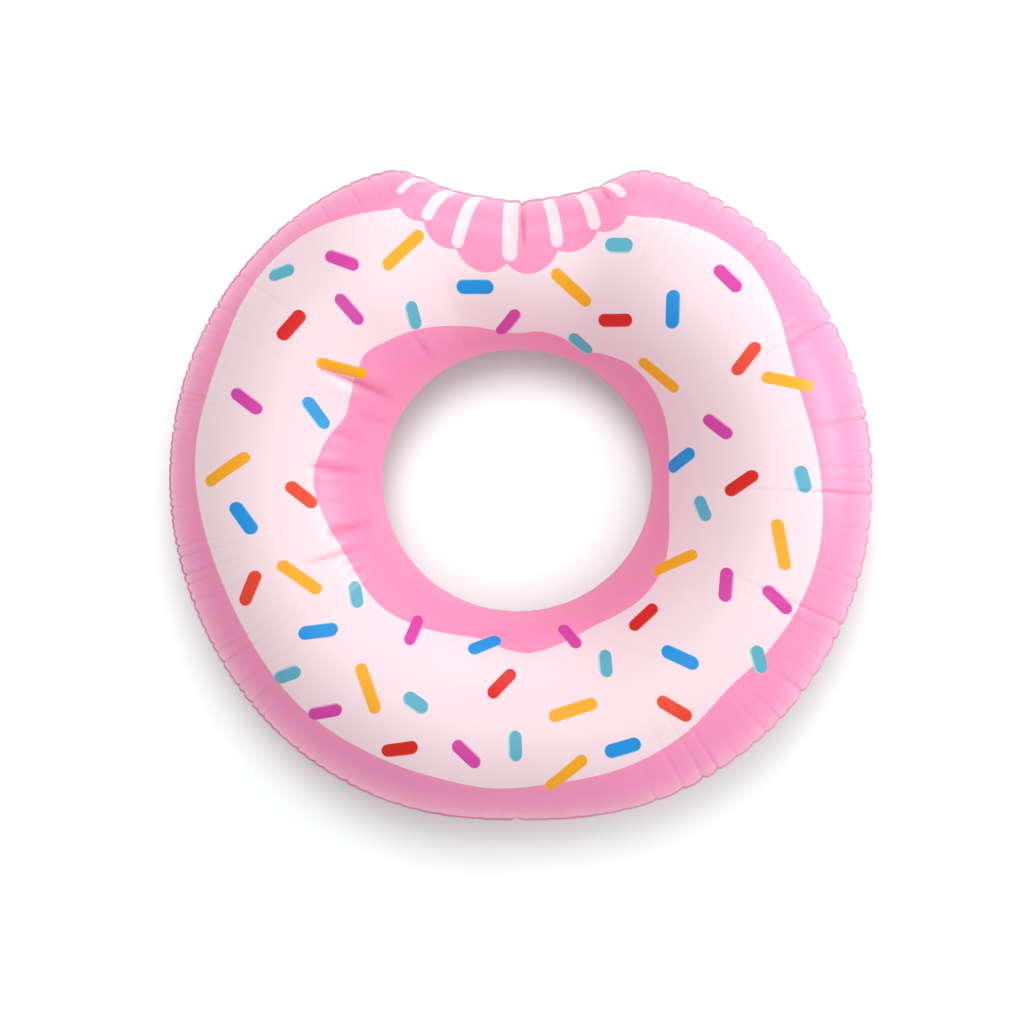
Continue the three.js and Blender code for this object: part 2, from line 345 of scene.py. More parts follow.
@dataclass(frozen=True)
class PvcFilm:
    """Calendered soft PVC film: smooth and glossy, with the faint waviness of the rolls.

    To the eye it gives broad soft highlights that ripple a little, and a clean even colour.
    """

    name: str
    colour: str
    ior: float = 1.53
    shine: float = 0.42
    roughness: tuple[float, float] = (0.3, 0.37)
    # painted shade: the deeper pink laid along the creases, where shade falls in them
    painted_shade_colour: str = "#D9608F"
    smudge_mm: float = 34.0
    roll_wave_mm: float = 26.0
    peel_mm: float = 2.4
    peel_share: float = 0.22
    wave_height: float = 0.012
    relief_strength: float = 0.6
    mottle_mm: float = 160.0
    mottle: float = 0.02

    def base(self) -> tuple[bpy.types.Material, bpy.types.NodeTree, bpy.types.Node]:
        """Starts the material.

        Returns:
            The material, its node tree and its shader node.
        """
        material, tree, shader = start_material(self.name)
        shader.inputs["IOR"].default_value = self.ior
        shader.inputs["Specular IOR Level"].default_value = self.shine
        return material, tree, shader

    def flat_place(self, tree: bpy.types.NodeTree) -> bpy.types.NodeSocket:
        """The place on the flat film, in mm."""
        return add_node(tree, "ShaderNodeAttribute", attribute_name="flat_mm").outputs["Vector"]

    def tinted(self, tree: bpy.types.NodeTree) -> bpy.types.NodeSocket:
        """The colour of the film itself.

        Args:
            tree: The node tree.

        Returns:
            The socket with the colour.
        """
        tint = add_node(tree, "ShaderNodeRGB")
        tint.outputs[0].default_value = srgb(self.colour)
        return tint.outputs[0]

    def mottled(
        self, tree: bpy.types.NodeTree, place: bpy.types.NodeSocket, colour: bpy.types.NodeSocket
    ) -> bpy.types.NodeSocket:
        """Varies a colour faintly, as film and ink vary in thickness over a few centimetres.

        Args:
            tree: The node tree.
            place: Socket with the place on the flat film, in mm.
            colour: Socket with the even colour.

        Returns:
            The socket with the varied colour.
        """
        noise = add_node(
            tree, "ShaderNodeTexNoise",
            {"Vector": place, "Scale": 1 / self.mottle_mm, "Detail": 3.0},
        )
        value = add_node(
            tree, "ShaderNodeMapRange",
            {"Value": noise.outputs[0], 3: 1 - self.mottle, 4: 1 + self.mottle},
        )
        varied = add_node(
            tree, "ShaderNodeHueSaturation",
            {"Color": colour, "Value": value.outputs[0], "Saturation": 1.0},
        )
        return varied.outputs[0]

    def painted_crease_shade(
        self, tree: bpy.types.NodeTree, colour: bpy.types.NodeSocket
    ) -> bpy.types.NodeSocket:
        """Paints shade along the sharp folds: the colour deepens where shade falls in a crease.

        Args:
            tree: The node tree.
            colour: Socket with the colour of the smooth film.

        Returns:
            The socket with the deepened colour.
        """
        # painted shade: the share of the deeper pink at each point
        painted_shade_mask = add_node(tree, "ShaderNodeAttribute", attribute_name="painted_crease_shade")
        return mix_colours(tree, painted_shade_mask.outputs["Fac"], colour, srgb(self.painted_shade_colour))

    def dress(
        self, tree: bpy.types.NodeTree, shader: bpy.types.Node, place: bpy.types.NodeSocket,
        relief: bpy.types.NodeSocket | None = None,
    ) -> None:
        """Links the film's gloss and its relief.

        Args:
            tree: The node tree.
            shader: The shader node.
            place: Socket with the place on the flat film, in mm.
            relief: Socket with a height in mm to add, such as an ink's thickness.
        """
        smudge = add_node(
            tree, "ShaderNodeTexNoise",
            {"Vector": place, "Scale": 1 / self.smudge_mm, "Detail": 4.0, "Roughness": 0.55},
        )
        smooth, rough = self.roughness
        gloss = add_node(
            tree, "ShaderNodeMapRange", {"Value": smudge.outputs[0], 1: 0.3, 2: 0.7, 3: smooth, 4: rough}
        )
        tree.links.new(gloss.outputs[0], shader.inputs["Roughness"])
        wave = add_node(
            tree, "ShaderNodeTexNoise",
            {"Vector": place, "Scale": 1 / self.roll_wave_mm, "Detail": 1.0},
        )
        peel = add_node(
            tree, "ShaderNodeTexNoise",
            {"Vector": place, "Scale": 1 / self.peel_mm, "Detail": 2.0},
        )
        uneven = work_out(
            tree, "MULTIPLY_ADD", peel.outputs[0], self.peel_share, wave.outputs[0]
        )
        height = work_out(tree, "MULTIPLY", uneven, self.wave_height)
        if relief is not None:
            height = work_out(tree, "ADD", height, relief)
        bump = add_node(
            tree, "ShaderNodeBump",
            {"Height": height, "Strength": self.relief_strength, "Distance": MM},
        )
        tree.links.new(bump.outputs[0], shader.inputs["Normal"])


@dataclass(frozen=True)
class PlainFilm(PvcFilm):
    """The unprinted pink film of the lower sheet: one clean colour under a soft gloss."""

    name: str = "pink_pvc_film"
    colour: str = "#FC97C0"

    def make(self) -> bpy.types.Material:
        """Builds the material.

        Returns:
            The material.
        """
        material, tree, shader = self.base()
        place = self.flat_place(tree)
        varied = self.painted_crease_shade(tree, self.mottled(tree, place, self.tinted(tree)))
        tree.links.new(varied, shader.inputs["Base Color"])
        self.dress(tree, shader, place)
        return material


@dataclass(frozen=True)
class PrintedFilm(PvcFilm):
    """Pink film with screen-printed inks on it: pale icing, bite marks and sprinkles.

    The inks end in clean edges and stand a few hundredths of a millimetre proud, so that an
    edge catches a thin line of light where the film is raked by it.
    """

    name: str = "printed_pvc_film"
    colour: str = "#FC97C0"
    icing: str = "#FCE1E8"
    edge_mm: float = 0.45
    ink_height: float = 0.05

    def covered(
        self, tree: bpy.types.NodeTree, distance: bpy.types.NodeSocket
    ) -> bpy.types.NodeSocket:
        """Works out how far an ink covers the film.

        Args:
            tree: The node tree.
            distance: Socket with the distance inside the ink's edge, in mm.

        Returns:
            The socket with the cover, from 0 to 1.
        """
        half = self.edge_mm / 2
        cover = add_node(
            tree, "ShaderNodeMapRange", {"Value": distance, 1: -half, 2: half}, clamp=True
        )
        return cover.outputs[0]

    def stroke(
        self, tree: bpy.types.NodeTree, place: bpy.types.NodeSocket,
        radius: bpy.types.NodeSocket, shift: bpy.types.NodeSocket | None = None,
    ) -> bpy.types.NodeSocket:
        """Measures how far inside the nearest sprinkle a point is.

        Args:
            tree: The node tree.
            place: Socket with (along, across, half length) in mm from the stroke's middle.
            radius: Socket with half the stroke's width.
            shift: Socket that moves the stroke sideways, or None.

        Returns:
            The socket with the distance in mm, positive inside.
        """
        parts = add_node(tree, "ShaderNodeSeparateXYZ", {0: place})
        along, across, half = parts.outputs
        if shift is not None:
            across = work_out(tree, "ADD", across, shift)
        over = work_out(tree, "SUBTRACT", work_out(tree, "ABSOLUTE", along), half)
        over = work_out(tree, "MAXIMUM", over, 0.0)
        flat = add_node(tree, "ShaderNodeCombineXYZ", {0: over, 1: across})
        away = add_node(tree, "ShaderNodeVectorMath", {0: flat.outputs[0]}, operation="LENGTH")
        return work_out(tree, "SUBTRACT", radius, away.outputs["Value"])

    def make(self) -> bpy.types.Material:
        """Builds the material.

        Returns:
            The material.
        """
        material, tree, shader = self.base()
        place = self.flat_place(tree)
        icing = add_node(tree, "ShaderNodeAttribute", attribute_name="icing_mm")
        iced = self.covered(tree, icing.outputs["Fac"])
        ink = add_node(tree, "ShaderNodeAttribute", attribute_name="ink_colour")
        rim = add_node(tree, "ShaderNodeAttribute", attribute_name="rim_colour")
        stroke = add_node(tree, "ShaderNodeAttribute", attribute_name="stroke_place")
        radius, shift = ink.outputs["Alpha"], rim.outputs["Alpha"]
        inked = self.covered(tree, self.stroke(tree, stroke.outputs["Vector"], radius))
        body = self.covered(tree, self.stroke(tree, stroke.outputs["Vector"], radius, shift))
        ground = mix_colours(tree, iced, srgb(self.colour), srgb(self.icing))
        drawn = mix_colours(tree, body, rim.outputs["Color"], ink.outputs["Color"])
        printed = mix_colours(tree, inked, ground, drawn)
        varied = self.painted_crease_shade(tree, self.mottled(tree, place, printed))
        tree.links.new(varied, shader.inputs["Base Color"])
        layers = work_out(tree, "ADD", iced, inked)
        self.dress(tree, shader, place, work_out(tree, "MULTIPLY", layers, self.ink_height))
        return material


@dataclass(frozen=True)
class WeldedMargin(PvcFilm):
    """Film pressed into film by a heated tool: a hair darker, with the tool's fine ribs.

    The ribs, every millimetre and a half along the seam, break its gloss into small glints.
    """

    name: str = "welded_pvc_margin"
    colour: str = "#EBA0C0"
    rib_mm: float = 1.5
    rib_height: float = 0.12

    def make(self) -> bpy.types.Material:
        """Builds the material.

        Returns:
            The material.
        """
        material, tree, shader = self.base()
        place = self.flat_place(tree)
        varied = self.mottled(tree, place, self.tinted(tree))
        tree.links.new(varied, shader.inputs["Base Color"])
        along = add_node(tree, "ShaderNodeAttribute", attribute_name="along_mm")
        turn = work_out(tree, "MULTIPLY", along.outputs["Fac"], 2 * math.pi / self.rib_mm)
        rib = work_out(tree, "SINE", turn)
        self.dress(tree, shader, place, work_out(tree, "MULTIPLY", rib, self.rib_height / 2))
        return material


@dataclass(frozen=True)
class MouldedVinyl:
    """Soft vinyl moulded in a steel tool: milky, satin, with a faint swirl of the melt."""

    name: str = "moulded_vinyl"
    colour: str = "#F4F0EC"
    streak: str = "#E6E0DA"
    ior: float = 1.53
    roughness: float = 0.32
    uneven: float = 0.06
    transmission: float = 0.0
    swirl_mm: float = 6.0
    spark_mm: float = 0.5
    spark_height: float = 0.1
    spark_strength: float = 0.12

    def make(self) -> bpy.types.Material:
        """Builds the material.

        Returns:
            The material.
        """
        material, tree, shader = start_material(self.name)
        shader.inputs["IOR"].default_value = self.ior
        shader.inputs["Transmission Weight"].default_value = self.transmission
        place = add_node(tree, "ShaderNodeTexCoord").outputs["Object"]
        swirl = add_node(
            tree, "ShaderNodeTexNoise",
            {"Vector": place, "Scale": 1 / (self.swirl_mm * MM), "Detail": 4.0, "Distortion": 1.2},
        )
        tint = mix_colours(tree, swirl.outputs[0], srgb(self.colour), srgb(self.streak))
        tree.links.new(tint, shader.inputs["Base Color"])
        spark = add_node(
            tree, "ShaderNodeTexNoise",
            {"Vector": place, "Scale": 1 / (self.spark_mm * MM), "Detail": 2.0},
        )
        smooth, rough = self.roughness - self.uneven, self.roughness + self.uneven
        gloss = add_node(
            tree, "ShaderNodeMapRange", {"Value": spark.outputs[0], 3: smooth, 4: rough}
        )
        tree.links.new(gloss.outputs[0], shader.inputs["Roughness"])
        bump = add_node(
            tree, "ShaderNodeBump",
            {"Height": spark.outputs[0], "Strength": self.spark_strength,
             "Distance": self.spark_height * MM},
        )
        tree.links.new(bump.outputs[0], shader.inputs["Normal"])
        return material


@dataclass(frozen=True)
class StudioPaper:
    """Matt pale background paper: no shine, with a barely visible tooth."""

    name: str = "studio_paper"
    colour: str = "#C3C8C7"
    tooth: str = "#C0C5C4"
    tooth_mm: float = 3.0
    roughness: float = 0.95
    shine: float = 0.1

    def make(self) -> bpy.types.Material:
        """Builds the material.

        Returns:
            The material.
        """
        material, tree, shader = start_material(self.name)
        shader.inputs["Roughness"].default_value = self.roughness
        shader.inputs["Specular IOR Level"].default_value = self.shine
        place = add_node(tree, "ShaderNodeTexCoord").outputs["Object"]
        noise = add_node(
            tree, "ShaderNodeTexNoise",
            {"Vector": place, "Scale": 1 / (self.tooth_mm * MM), "Detail": 2.0},
        )
        tint = mix_colours(tree, noise.outputs[0], srgb(self.colour), srgb(self.tooth))
        tree.links.new(tint, shader.inputs["Base Color"])
        return material


# --- Shape of the ring ---

# Outer edge of the weld margin: (degrees from the middle of the bite, mm from the hole's
# centre). The two sides are mirror images.
OUTLINE = [
    (0, 426), (8, 438), (14, 459), (18, 486), (21, 506), (25, 515.5), (31, 522), (45, 530),
    (65, 535), (90, 536.5), (120, 538.5), (135, 537.5), (155, 531), (170, 520.5), (180, 516.5),
]
BITE_FULL, BITE_GONE = 12, 42  # degrees from its middle at which the bite's low crest ends
SEAM_RADIUS = 530  # mm, the outer seam's mean radius

# How far the blown-up ring departs from that mirror shape: (clock degrees, mm outwards).
SEAM_SHIFT = [(0, 0), (60, 0), (100, 0), (150, -2), (180, -4), (208, -8), (235, -4), (262, 0)]
HOLE_SHIFT = [(0, 2), (60, 0), (90, -1.5), (130, 3.5), (172, 8.5), (205, 6.5), (240, 2), (275, -1)]


@dataclass
class RingShape:
    """The smooth surface of the blown-up ring, before its seams gather and its film creases."""

    crown: float
    outline_scale: float = 1.0
    bite_crown: float = 95.0
    hole_radius: float = 197.0
    hole_reach: float = 0.3
    margin: float = 4.0
    slopes: int = 2400
    halvings: int = 50
    across: np.ndarray = field(init=False)
    share: np.ndarray = field(init=False)
    from_seam: np.ndarray = field(init=False)

    def __post_init__(self) -> None:
        """Works out the cross-section of a ring blown up from two flat sheets.

        Its slope s at radius r follows sin(s) = (r^2 - crest^2) / (outer^2 - crest^2), and the
        crest's radius is the one that brings the film back to the seam plane at the inner seam.
        """
        inner, outer = self.film_inner, float(self.film_outer(np.array([0.0]))[0])
        low, high = inner, outer
        for _ in range(self.halvings):
            crest = (low + high) / 2
            spread = outer**2 - crest**2
            first = math.asin(max(-1.0, (inner**2 - crest**2) / spread))
            slope = np.linspace(math.pi / 2, first, self.slopes)
            radius = np.sqrt(crest**2 + spread * np.sin(slope))
            rise = spread * np.sin(slope) / (2 * radius)
            steps = (rise[1:] + rise[:-1]) / 2 * -np.diff(slope)
            height = np.concatenate([[0], np.cumsum(steps)])
            if height[-1] > 0:
                low = crest
            else:
                high = crest
        self.across = (radius - inner) / (outer - inner)
        self.share = height / height.max()
        lengths = np.hypot(np.diff(radius), np.diff(height))
        self.from_seam = np.concatenate([[0], np.cumsum(lengths)])

    @classmethod
    def fitted(cls, crown: float, half_width: float) -> "RingShape":
        """Scales the outline so that the ring is as wide as its CAD frame.

        Args:
            crown: Height of the crest over the seam plane, in mm.
            half_width: Reach of the outline along X from the hole's centre, in mm.

        Returns:
            The shape.
        """
        angles = np.linspace(0, 2 * math.pi, 1441)
        widest = float((cls(crown).outline(angles) * np.cos(angles)).max())
        return cls(crown, half_width / widest)

    @property
    def film_inner(self) -> float:
        """Radius of the inner seam."""
        return self.hole_radius + self.margin

    def outline(self, angle: np.ndarray) -> np.ndarray:
        """Radius of the outer edge of the weld margin."""
        shift = round_curve(SEAM_SHIFT, np.degrees(angle))
        return through(OUTLINE, self.from_bite(angle)) * self.outline_scale + shift

    def film_outer(self, angle: np.ndarray) -> np.ndarray:
        """Radius of the outer seam."""
        return self.outline(angle) - self.margin

    def hole_shift(self, angle: np.ndarray) -> np.ndarray:
        """Distance of the inner seam outside its circle, in mm."""
        return round_curve(HOLE_SHIFT, np.degrees(angle))

    @staticmethod
    def from_bite(angle: np.ndarray) -> np.ndarray:
        """Degrees between a direction and the middle of the bite, from 0 to 180."""
        return np.abs((np.degrees(angle) - 90 + 180) % 360 - 180)

    def crown_at(self, angle: np.ndarray) -> np.ndarray:
        """Height of the crest over the seam plane."""
        full = smooth_step(self.from_bite(angle), BITE_FULL, BITE_GONE)
        return self.bite_crown + (self.crown - self.bite_crown) * full

    def surface(self, angle: np.ndarray, from_seam: np.ndarray) -> np.ndarray:
        """Points of the upper surface.

        Args:
            angle: Directions from the hole's centre, one for each point.
            from_seam: Place along the reference section, in mm from the outer seam.

        Returns:
            Points with x, y and height in mm.
        """
        across = np.interp(from_seam, self.from_seam, self.across)
        share = np.interp(from_seam, self.from_seam, self.share)
        radius = self.film_inner + across * (self.film_outer(angle) - self.film_inner)
        radius += self.hole_shift(angle) * (1 - smooth_step(across, 0, self.hole_reach))
        return np.stack(
            [radius * np.cos(angle), radius * np.sin(angle), share * self.crown_at(angle)], -1
        )


# Width and depth of the outer seam's lobes: (clock degrees, mm).
LOBE_WIDTH = [
    (0, 26), (30, 27), (50, 25), (62, 23), (72, 25), (90, 27), (108, 25), (122, 18), (142, 14),
    (182, 13), (215, 15), (240, 22), (262, 36), (284, 40), (304, 31), (330, 27),
]
LOBE_DEPTH = [
    (0, 5.6), (40, 6.4), (60, 5.6), (74, 3.4), (90, 3.0), (112, 2.8), (135, 2.8), (180, 3.4),
    (218, 3.6), (244, 2.4), (270, 1.6), (292, 2.4), (308, 4.6), (330, 5.8),
]

# Deep folds at the middle and the right corner of the bite and opposite it: (clock degrees,
# depth, reach).
DEEP_GATHERS = [(89.5, 7.0, 50.0), (74.8, 6.0, 26.0), (269.4, 8.0, 26.0)]


@dataclass
class SeamGathers:
    """Where the outer seam gathers: lobes between sharp creases that run into the film.

    A flat sheet has more length round its edge than the blown-up ring has, so the seam folds
    it into lobes, closer together on one side than on the other.
    """

    shape: RingShape
    column_mm: float = 3.0
    uneven: tuple[float, float] = (0.75, 1.28)
    least_columns: int = 4
    drift_mm: float = 2.0
    drift_start: float = 26.0
    drift_end: float = 130.0
    # width of the painted shade line across a crease
    shade_line_mm: float = 1.5
    angles: np.ndarray = field(init=False)
    depths: np.ndarray = field(init=False)
    reaches: np.ndarray = field(init=False)
    drifts: np.ndarray = field(init=False)

    def __post_init__(self) -> None:
        """Lays the creases round the seam, each with its own depth and reach."""
        rng = np.random.default_rng(SEED)
        places, at = [], 0.0
        while at < 360:
            places.append(at)
            usual = float(round_curve(LOBE_WIDTH, np.array([at]))[0])
            wide = usual * rng.uniform(*self.uneven)
            at += math.degrees(wide / float(self.shape.outline(np.radians([at]))[0]))
        self.angles = np.radians(np.array(places) * 360 / at)
        count = len(self.angles)
        strong = rng.random(count) ** 2.0
        usual = round_curve(LOBE_DEPTH, np.degrees(self.angles))
        self.depths = usual * (0.6 + 1.0 * strong)
        # short inside the bite, full length past its corners
        in_bite = 0.55 + 0.45 * smooth_step(self.shape.from_bite(self.angles), 14, 30)
        self.reaches = (30 + 9 * self.depths * rng.uniform(0.4, 1.5, count)) * in_bite
        self.drifts = rng.normal(0, self.drift_mm, count)
        for clock, depth, reach in DEEP_GATHERS:
            self.place_deep(clock, depth, reach)

    def place_deep(self, clock: float, depth: float, reach: float) -> None:
        """Makes the nearest crease one of the deep ones.

        Args:
            clock: Direction to move it to, in degrees.
            depth: Its depth in mm.
            reach: How far it runs into the film, in mm.
        """
        nearest = int(np.argmin(np.abs(self.angles - math.radians(clock))))
        self.angles[nearest] = math.radians(clock)
        self.depths[nearest], self.reaches[nearest] = depth, reach
        self.drifts[nearest] = 0

    def columns(self) -> tuple[np.ndarray, np.ndarray, np.ndarray]:
        """Divides the ring into columns of points that follow the creases.

        Returns:
            The columns' angles, the crease before each, and how far each is on to the next.
        """
        ends = np.append(self.angles[1:], self.angles[0] + 2 * math.pi)
        wide = (ends - self.angles) * self.shape.outline(self.angles)
        counts = np.maximum(self.least_columns, np.round(wide / self.column_mm)).astype(int)
        crease = np.repeat(np.arange(len(counts)), counts)
        part = np.concatenate([np.arange(n) / n for n in counts])
        return self.angles[crease] + part * (ends - self.angles)[crease], crease, part

    def sink(
        self, crease: np.ndarray, part: np.ndarray, distance: np.ndarray, stretch: float = 1.0
    ) -> np.ndarray:
        """Depth of the gathers below the smooth film.

        Args:
            crease: The crease before each column.
            part: How far each column is on to the next crease.
            distance: Distance from the seam, one row for each row of points.
            stretch: Factor on how far the creases reach into the film.

        Returns:
            Depth in mm.
        """
        after = (crease + 1) % len(self.angles)

        def depth(of: np.ndarray) -> np.ndarray:
            """Depth of each column's crease at each distance."""
            return self.depths[of] * np.exp(-((distance / (stretch * self.reaches[of])) ** 1.25))

        leaning = part**0.8
        lobe = (4 * leaning * (1 - leaning)) ** 0.6
        return (1 - lobe) * ((1 - part) * depth(crease) + part * depth(after))

    def painted_crease_shade(self, crease: np.ndarray, part: np.ndarray, distance: np.ndarray) -> np.ndarray:
        """Tells how much painted shade lies along the seam's creases, deepest at the sharp ones.

        Args:
            crease: The crease before each column.
            part: How far each column is on to the next crease.
            distance: Distance from the seam, one row for each row of points.

        Returns:
            The painted shade at each point, from 0 to 1.
        """
        after = (crease + 1) % len(self.angles)
        on_after = part > 0.5
        nearest = np.where(on_after, after, crease)
        wide = (self.angles[after] - self.angles[crease]) % (2 * math.pi) * SEAM_RADIUS
        away = np.where(on_after, 1 - part, part) * wide
        reach = 0.9 * self.reaches[nearest]
        sharp = np.clip(self.depths[nearest] / 6.5, 0, 1) * np.exp(-((distance / reach) ** 1.5))
        return 0.8 * sharp * np.exp(-((away / self.shade_line_mm) ** 2))

    def sideways(self, crease: np.ndarray, part: np.ndarray, distance: np.ndarray) -> np.ndarray:
        """Tells how far the creases wander sideways on their way into the film.

        Args:
            crease: The crease before each column.
            part: How far each column is on to the next crease.
            distance: Distance from the seam, one row for each row of points.

        Returns:
            The shift in mm, measured at the seam.
        """
        after = (crease + 1) % len(self.angles)
        drift = (1 - part) * self.drifts[crease] + part * self.drifts[after]
        start = 1 - np.exp(-((distance / self.drift_start) ** 2))
        return drift * start * np.exp(-((distance / self.drift_end) ** 2))


@dataclass(frozen=True)
class Crease:
    """A crease pressed into the upper film: from and to (clock degrees, mm from the centre)."""

    start: tuple[float, float]
    end: tuple[float, float]
    depth: float
    width: float

    def sink(self, plan: np.ndarray) -> np.ndarray:
        """Depth of the crease, with a low shoulder on each side.

        Args:
            plan: Points seen from above, in mm.

        Returns:
            The depth in mm at each point.
        """
        bow, across = self.place(plan)
        profile = np.exp(-(across**1.7)) - 0.25 * np.exp(-((across - 2.0) ** 2))
        return self.depth * bow * profile

    def painted_crease_shade(self, plan: np.ndarray) -> np.ndarray:
        """How much painted shade lies along the crease at each plan point, from 0 to 1."""
        bow, across = self.place(plan)
        return min(self.depth / 5, 0.7) * bow * np.exp(-((across * 1.6) ** 2))

    def place(self, plan: np.ndarray) -> tuple[np.ndarray, np.ndarray]:
        """Finds each plan point's place on the crease.

        Args:
            plan: Points seen from above, in mm.

        Returns:
            How full the crease is there, from 0 past its ends to 1 in its middle, and the
            distance across it in half widths.
        """
        a, b = polar(*self.start), polar(*self.end)
        run = b - a
        length = float(np.hypot(*run))
        run /= length
        offset = plan - a
        along = offset @ run / length
        across = np.abs(offset @ np.array([-run[1], run[0]])) / self.width
        return np.clip(1 - (2 * along - 1) ** 2, 0, 1) ** 0.8, across


# Creases of the inner flank on the left, where the film folds over its shorter inner seam.
INNER_CREASES = [
    Crease((151, 340), (147, 224), 3.6, 9.0),
    Crease((126, 268), (126, 222), 1.5, 6.0),
    Crease((166, 290), (166, 236), 1.2, 6.5),
    Crease((176.5, 316), (177, 232), 2.8, 7.0),
    Crease((187, 300), (187, 250), 0.8, 7.0),
    Crease((195.4, 300), (196, 230), 3.0, 7.0),
    Crease((201.5, 340), (203, 238), 2.4, 5.5),
    Crease((205, 296), (205.5, 256), 1.4, 3.5),
    Crease((208.5, 292), (209, 258), 1.5, 3.5),
    Crease((214, 310), (213, 258), 0.6, 6.0),
    Crease((158, 266), (157, 218), 1.0, 6.0),
    Crease((112, 236), (112, 212), 0.8, 5.0),
]

# Folds where the film doubles over beside the middle stripe of the bite, and across the stripe.
BITE_CREASES = [
    Crease((89.5, 428), (89.3, 342), 3.0, 3.0),
    Crease((90.8, 420), (91.5, 350), 1.0, 2.2),
    Crease((91.9, 414), (92.3, 352), 0.8, 2.0),
    Crease((74.9, 458), (71.7, 434), 3.6, 3.0),
    Crease((109.9, 476), (108.3, 460), 2.6, 2.6),
    Crease((104.3, 448), (102.9, 436), 2.0, 2.4),
]


# --- Print on the upper sheet ---

# Edges of the icing: (clock degrees, mm from the hole's centre, seen from above).
ICING_OUTER = [
    (0, 442), (7, 436), (14, 431), (20, 431), (26, 438), (33, 452), (39, 461), (45, 465),
    (52, 459), (60, 442), (68, 422), (90, 430), (114, 440), (122, 461), (131, 482), (140, 490),
    (148, 487), (156, 480), (164, 479), (173, 481), (181, 478), (190, 470), (200, 463),
    (212, 462), (225, 465), (240, 460), (254, 455), (265, 457), (276, 450), (292, 450),
    (303, 445), (315, 433), (325, 442), (335, 450), (345, 452), (353, 448),
]
ICING_INNER = [
    (0, 225), (10, 228), (22, 236), (35, 241), (46, 239), (56, 228), (65, 217), (72, 223),
    (82, 225), (90, 221), (97, 225), (110, 246), (125, 271), (133, 282), (141, 293), (148, 285),
    (154, 279), (160, 275), (170, 294), (180, 304), (190, 295), (204, 280), (222, 278),
    (236, 264), (250, 247), (258, 244), (266, 253), (273, 258), (283, 252), (296, 244),
    (305, 247), (317, 253), (330, 249), (340, 238), (350, 228),
]

# Toothed marks of the bite, in the bare pink of the film: (clock degrees, mm, radius), on the
# flat sheet, whose distances run along the film.
BITE_TEETH = [
    (109.6, 479, 35), (105, 432, 42), (98.2, 398, 50), (87.8, 395, 51.5), (79, 428, 48),
    (72.2, 455, 34),
]
# Stripes of crumb between them: (clock, mm) of each end and the half width.
BITE_STRIPES = [
    ((112.3, 508), (107.5, 545), 7), ((109.2, 452), (103.2, 510), 9.4),
    ((104.6, 400), (98.0, 505), 9.8), ((92.5, 375), (91.7, 478), 12.6),
    ((81.1, 395), (84.6, 498), 9.8), ((73.7, 431), (78.3, 508), 9.8),
    ((70.4, 491), (73.6, 525), 7.6),
]

# Sprinkles: (kind, clock degrees, mm, turn in degrees), on the flat sheet.
SPRINKLES = [
    (Sprinkle.YELLOW, 117, 420, 36), (Sprinkle.YELLOW, 148, 356, 167),
    (Sprinkle.YELLOW, 178, 483, 36), (Sprinkle.YELLOW, 204, 405, 142),
    (Sprinkle.YELLOW, 234, 429, 113), (Sprinkle.YELLOW, 283, 397, 18),
    (Sprinkle.YELLOW, 279, 489, 40), (Sprinkle.YELLOW, 332, 297, 21),
    (Sprinkle.YELLOW, 346, 444, 98), (Sprinkle.YELLOW, 20, 469, 166),
    (Sprinkle.YELLOW, 37, 295, 141), (Sprinkle.YELLOW, 75, 329, 137),
    (Sprinkle.RED, 146, 455, 49), (Sprinkle.CORAL, 184, 372, 139),
    (Sprinkle.CORAL, 202, 479, 69), (Sprinkle.RED, 246, 485, 7),
    (Sprinkle.RED, 265, 349, 44), (Sprinkle.RED, 312, 314, 43),
    (Sprinkle.RED, 359, 374, 37), (Sprinkle.CORAL, 28, 426, 55),
    (Sprinkle.RED, 59, 313, 5), (Sprinkle.CORAL, 304, 455, 152),
    (Sprinkle.BLUE, 103, 329, 4), (Sprinkle.BLUE, 48, 385, 92),
    (Sprinkle.SKY, 162, 365, 124), (Sprinkle.BLUE, 188, 461, 124),
    (Sprinkle.BLUE, 217, 421, 4), (Sprinkle.BLUE, 258, 285, 25),
    (Sprinkle.BLUE, 312, 400, 158), (Sprinkle.BLUE, 291, 472, 17),
    (Sprinkle.BLUE, 7, 272, 33),
    (Sprinkle.MAGENTA, 129, 465, 162), (Sprinkle.MAGENTA, 135, 404, 131),
    (Sprinkle.MAGENTA, 164, 469, 141), (Sprinkle.MAGENTA, 230, 498, 11),
    (Sprinkle.MAGENTA, 259, 461, 138), (Sprinkle.MAGENTA, 235, 313, 66),
    (Sprinkle.MAGENTA, 288, 275, 126), (Sprinkle.MAGENTA, 94, 262, 56),
    (Sprinkle.MAGENTA, 44, 475, 135), (Sprinkle.MAGENTA, 15, 348, 141),
    (Sprinkle.MAGENTA, 333, 389, 83), (Sprinkle.MAGENTA, 335, 467, 135),
    (Sprinkle.TEAL, 139, 521, 17), (Sprinkle.TEAL, 123, 331, 104),
    (Sprinkle.TEAL, 67, 412, 1), (Sprinkle.TEAL, 0, 464, 104),
    (Sprinkle.TEAL, 351, 314, 113), (Sprinkle.TEAL, 215, 342, 101),
    (Sprinkle.TEAL, 245, 412, 146), (Sprinkle.TEAL, 269, 442, 92),
    (Sprinkle.TEAL, 295, 344, 94), (Sprinkle.TEAL, 323, 489, 104),
    (Sprinkle.TEAL, 220, 499, 20), (Sprinkle.TEAL, 66, 241, 138),
]


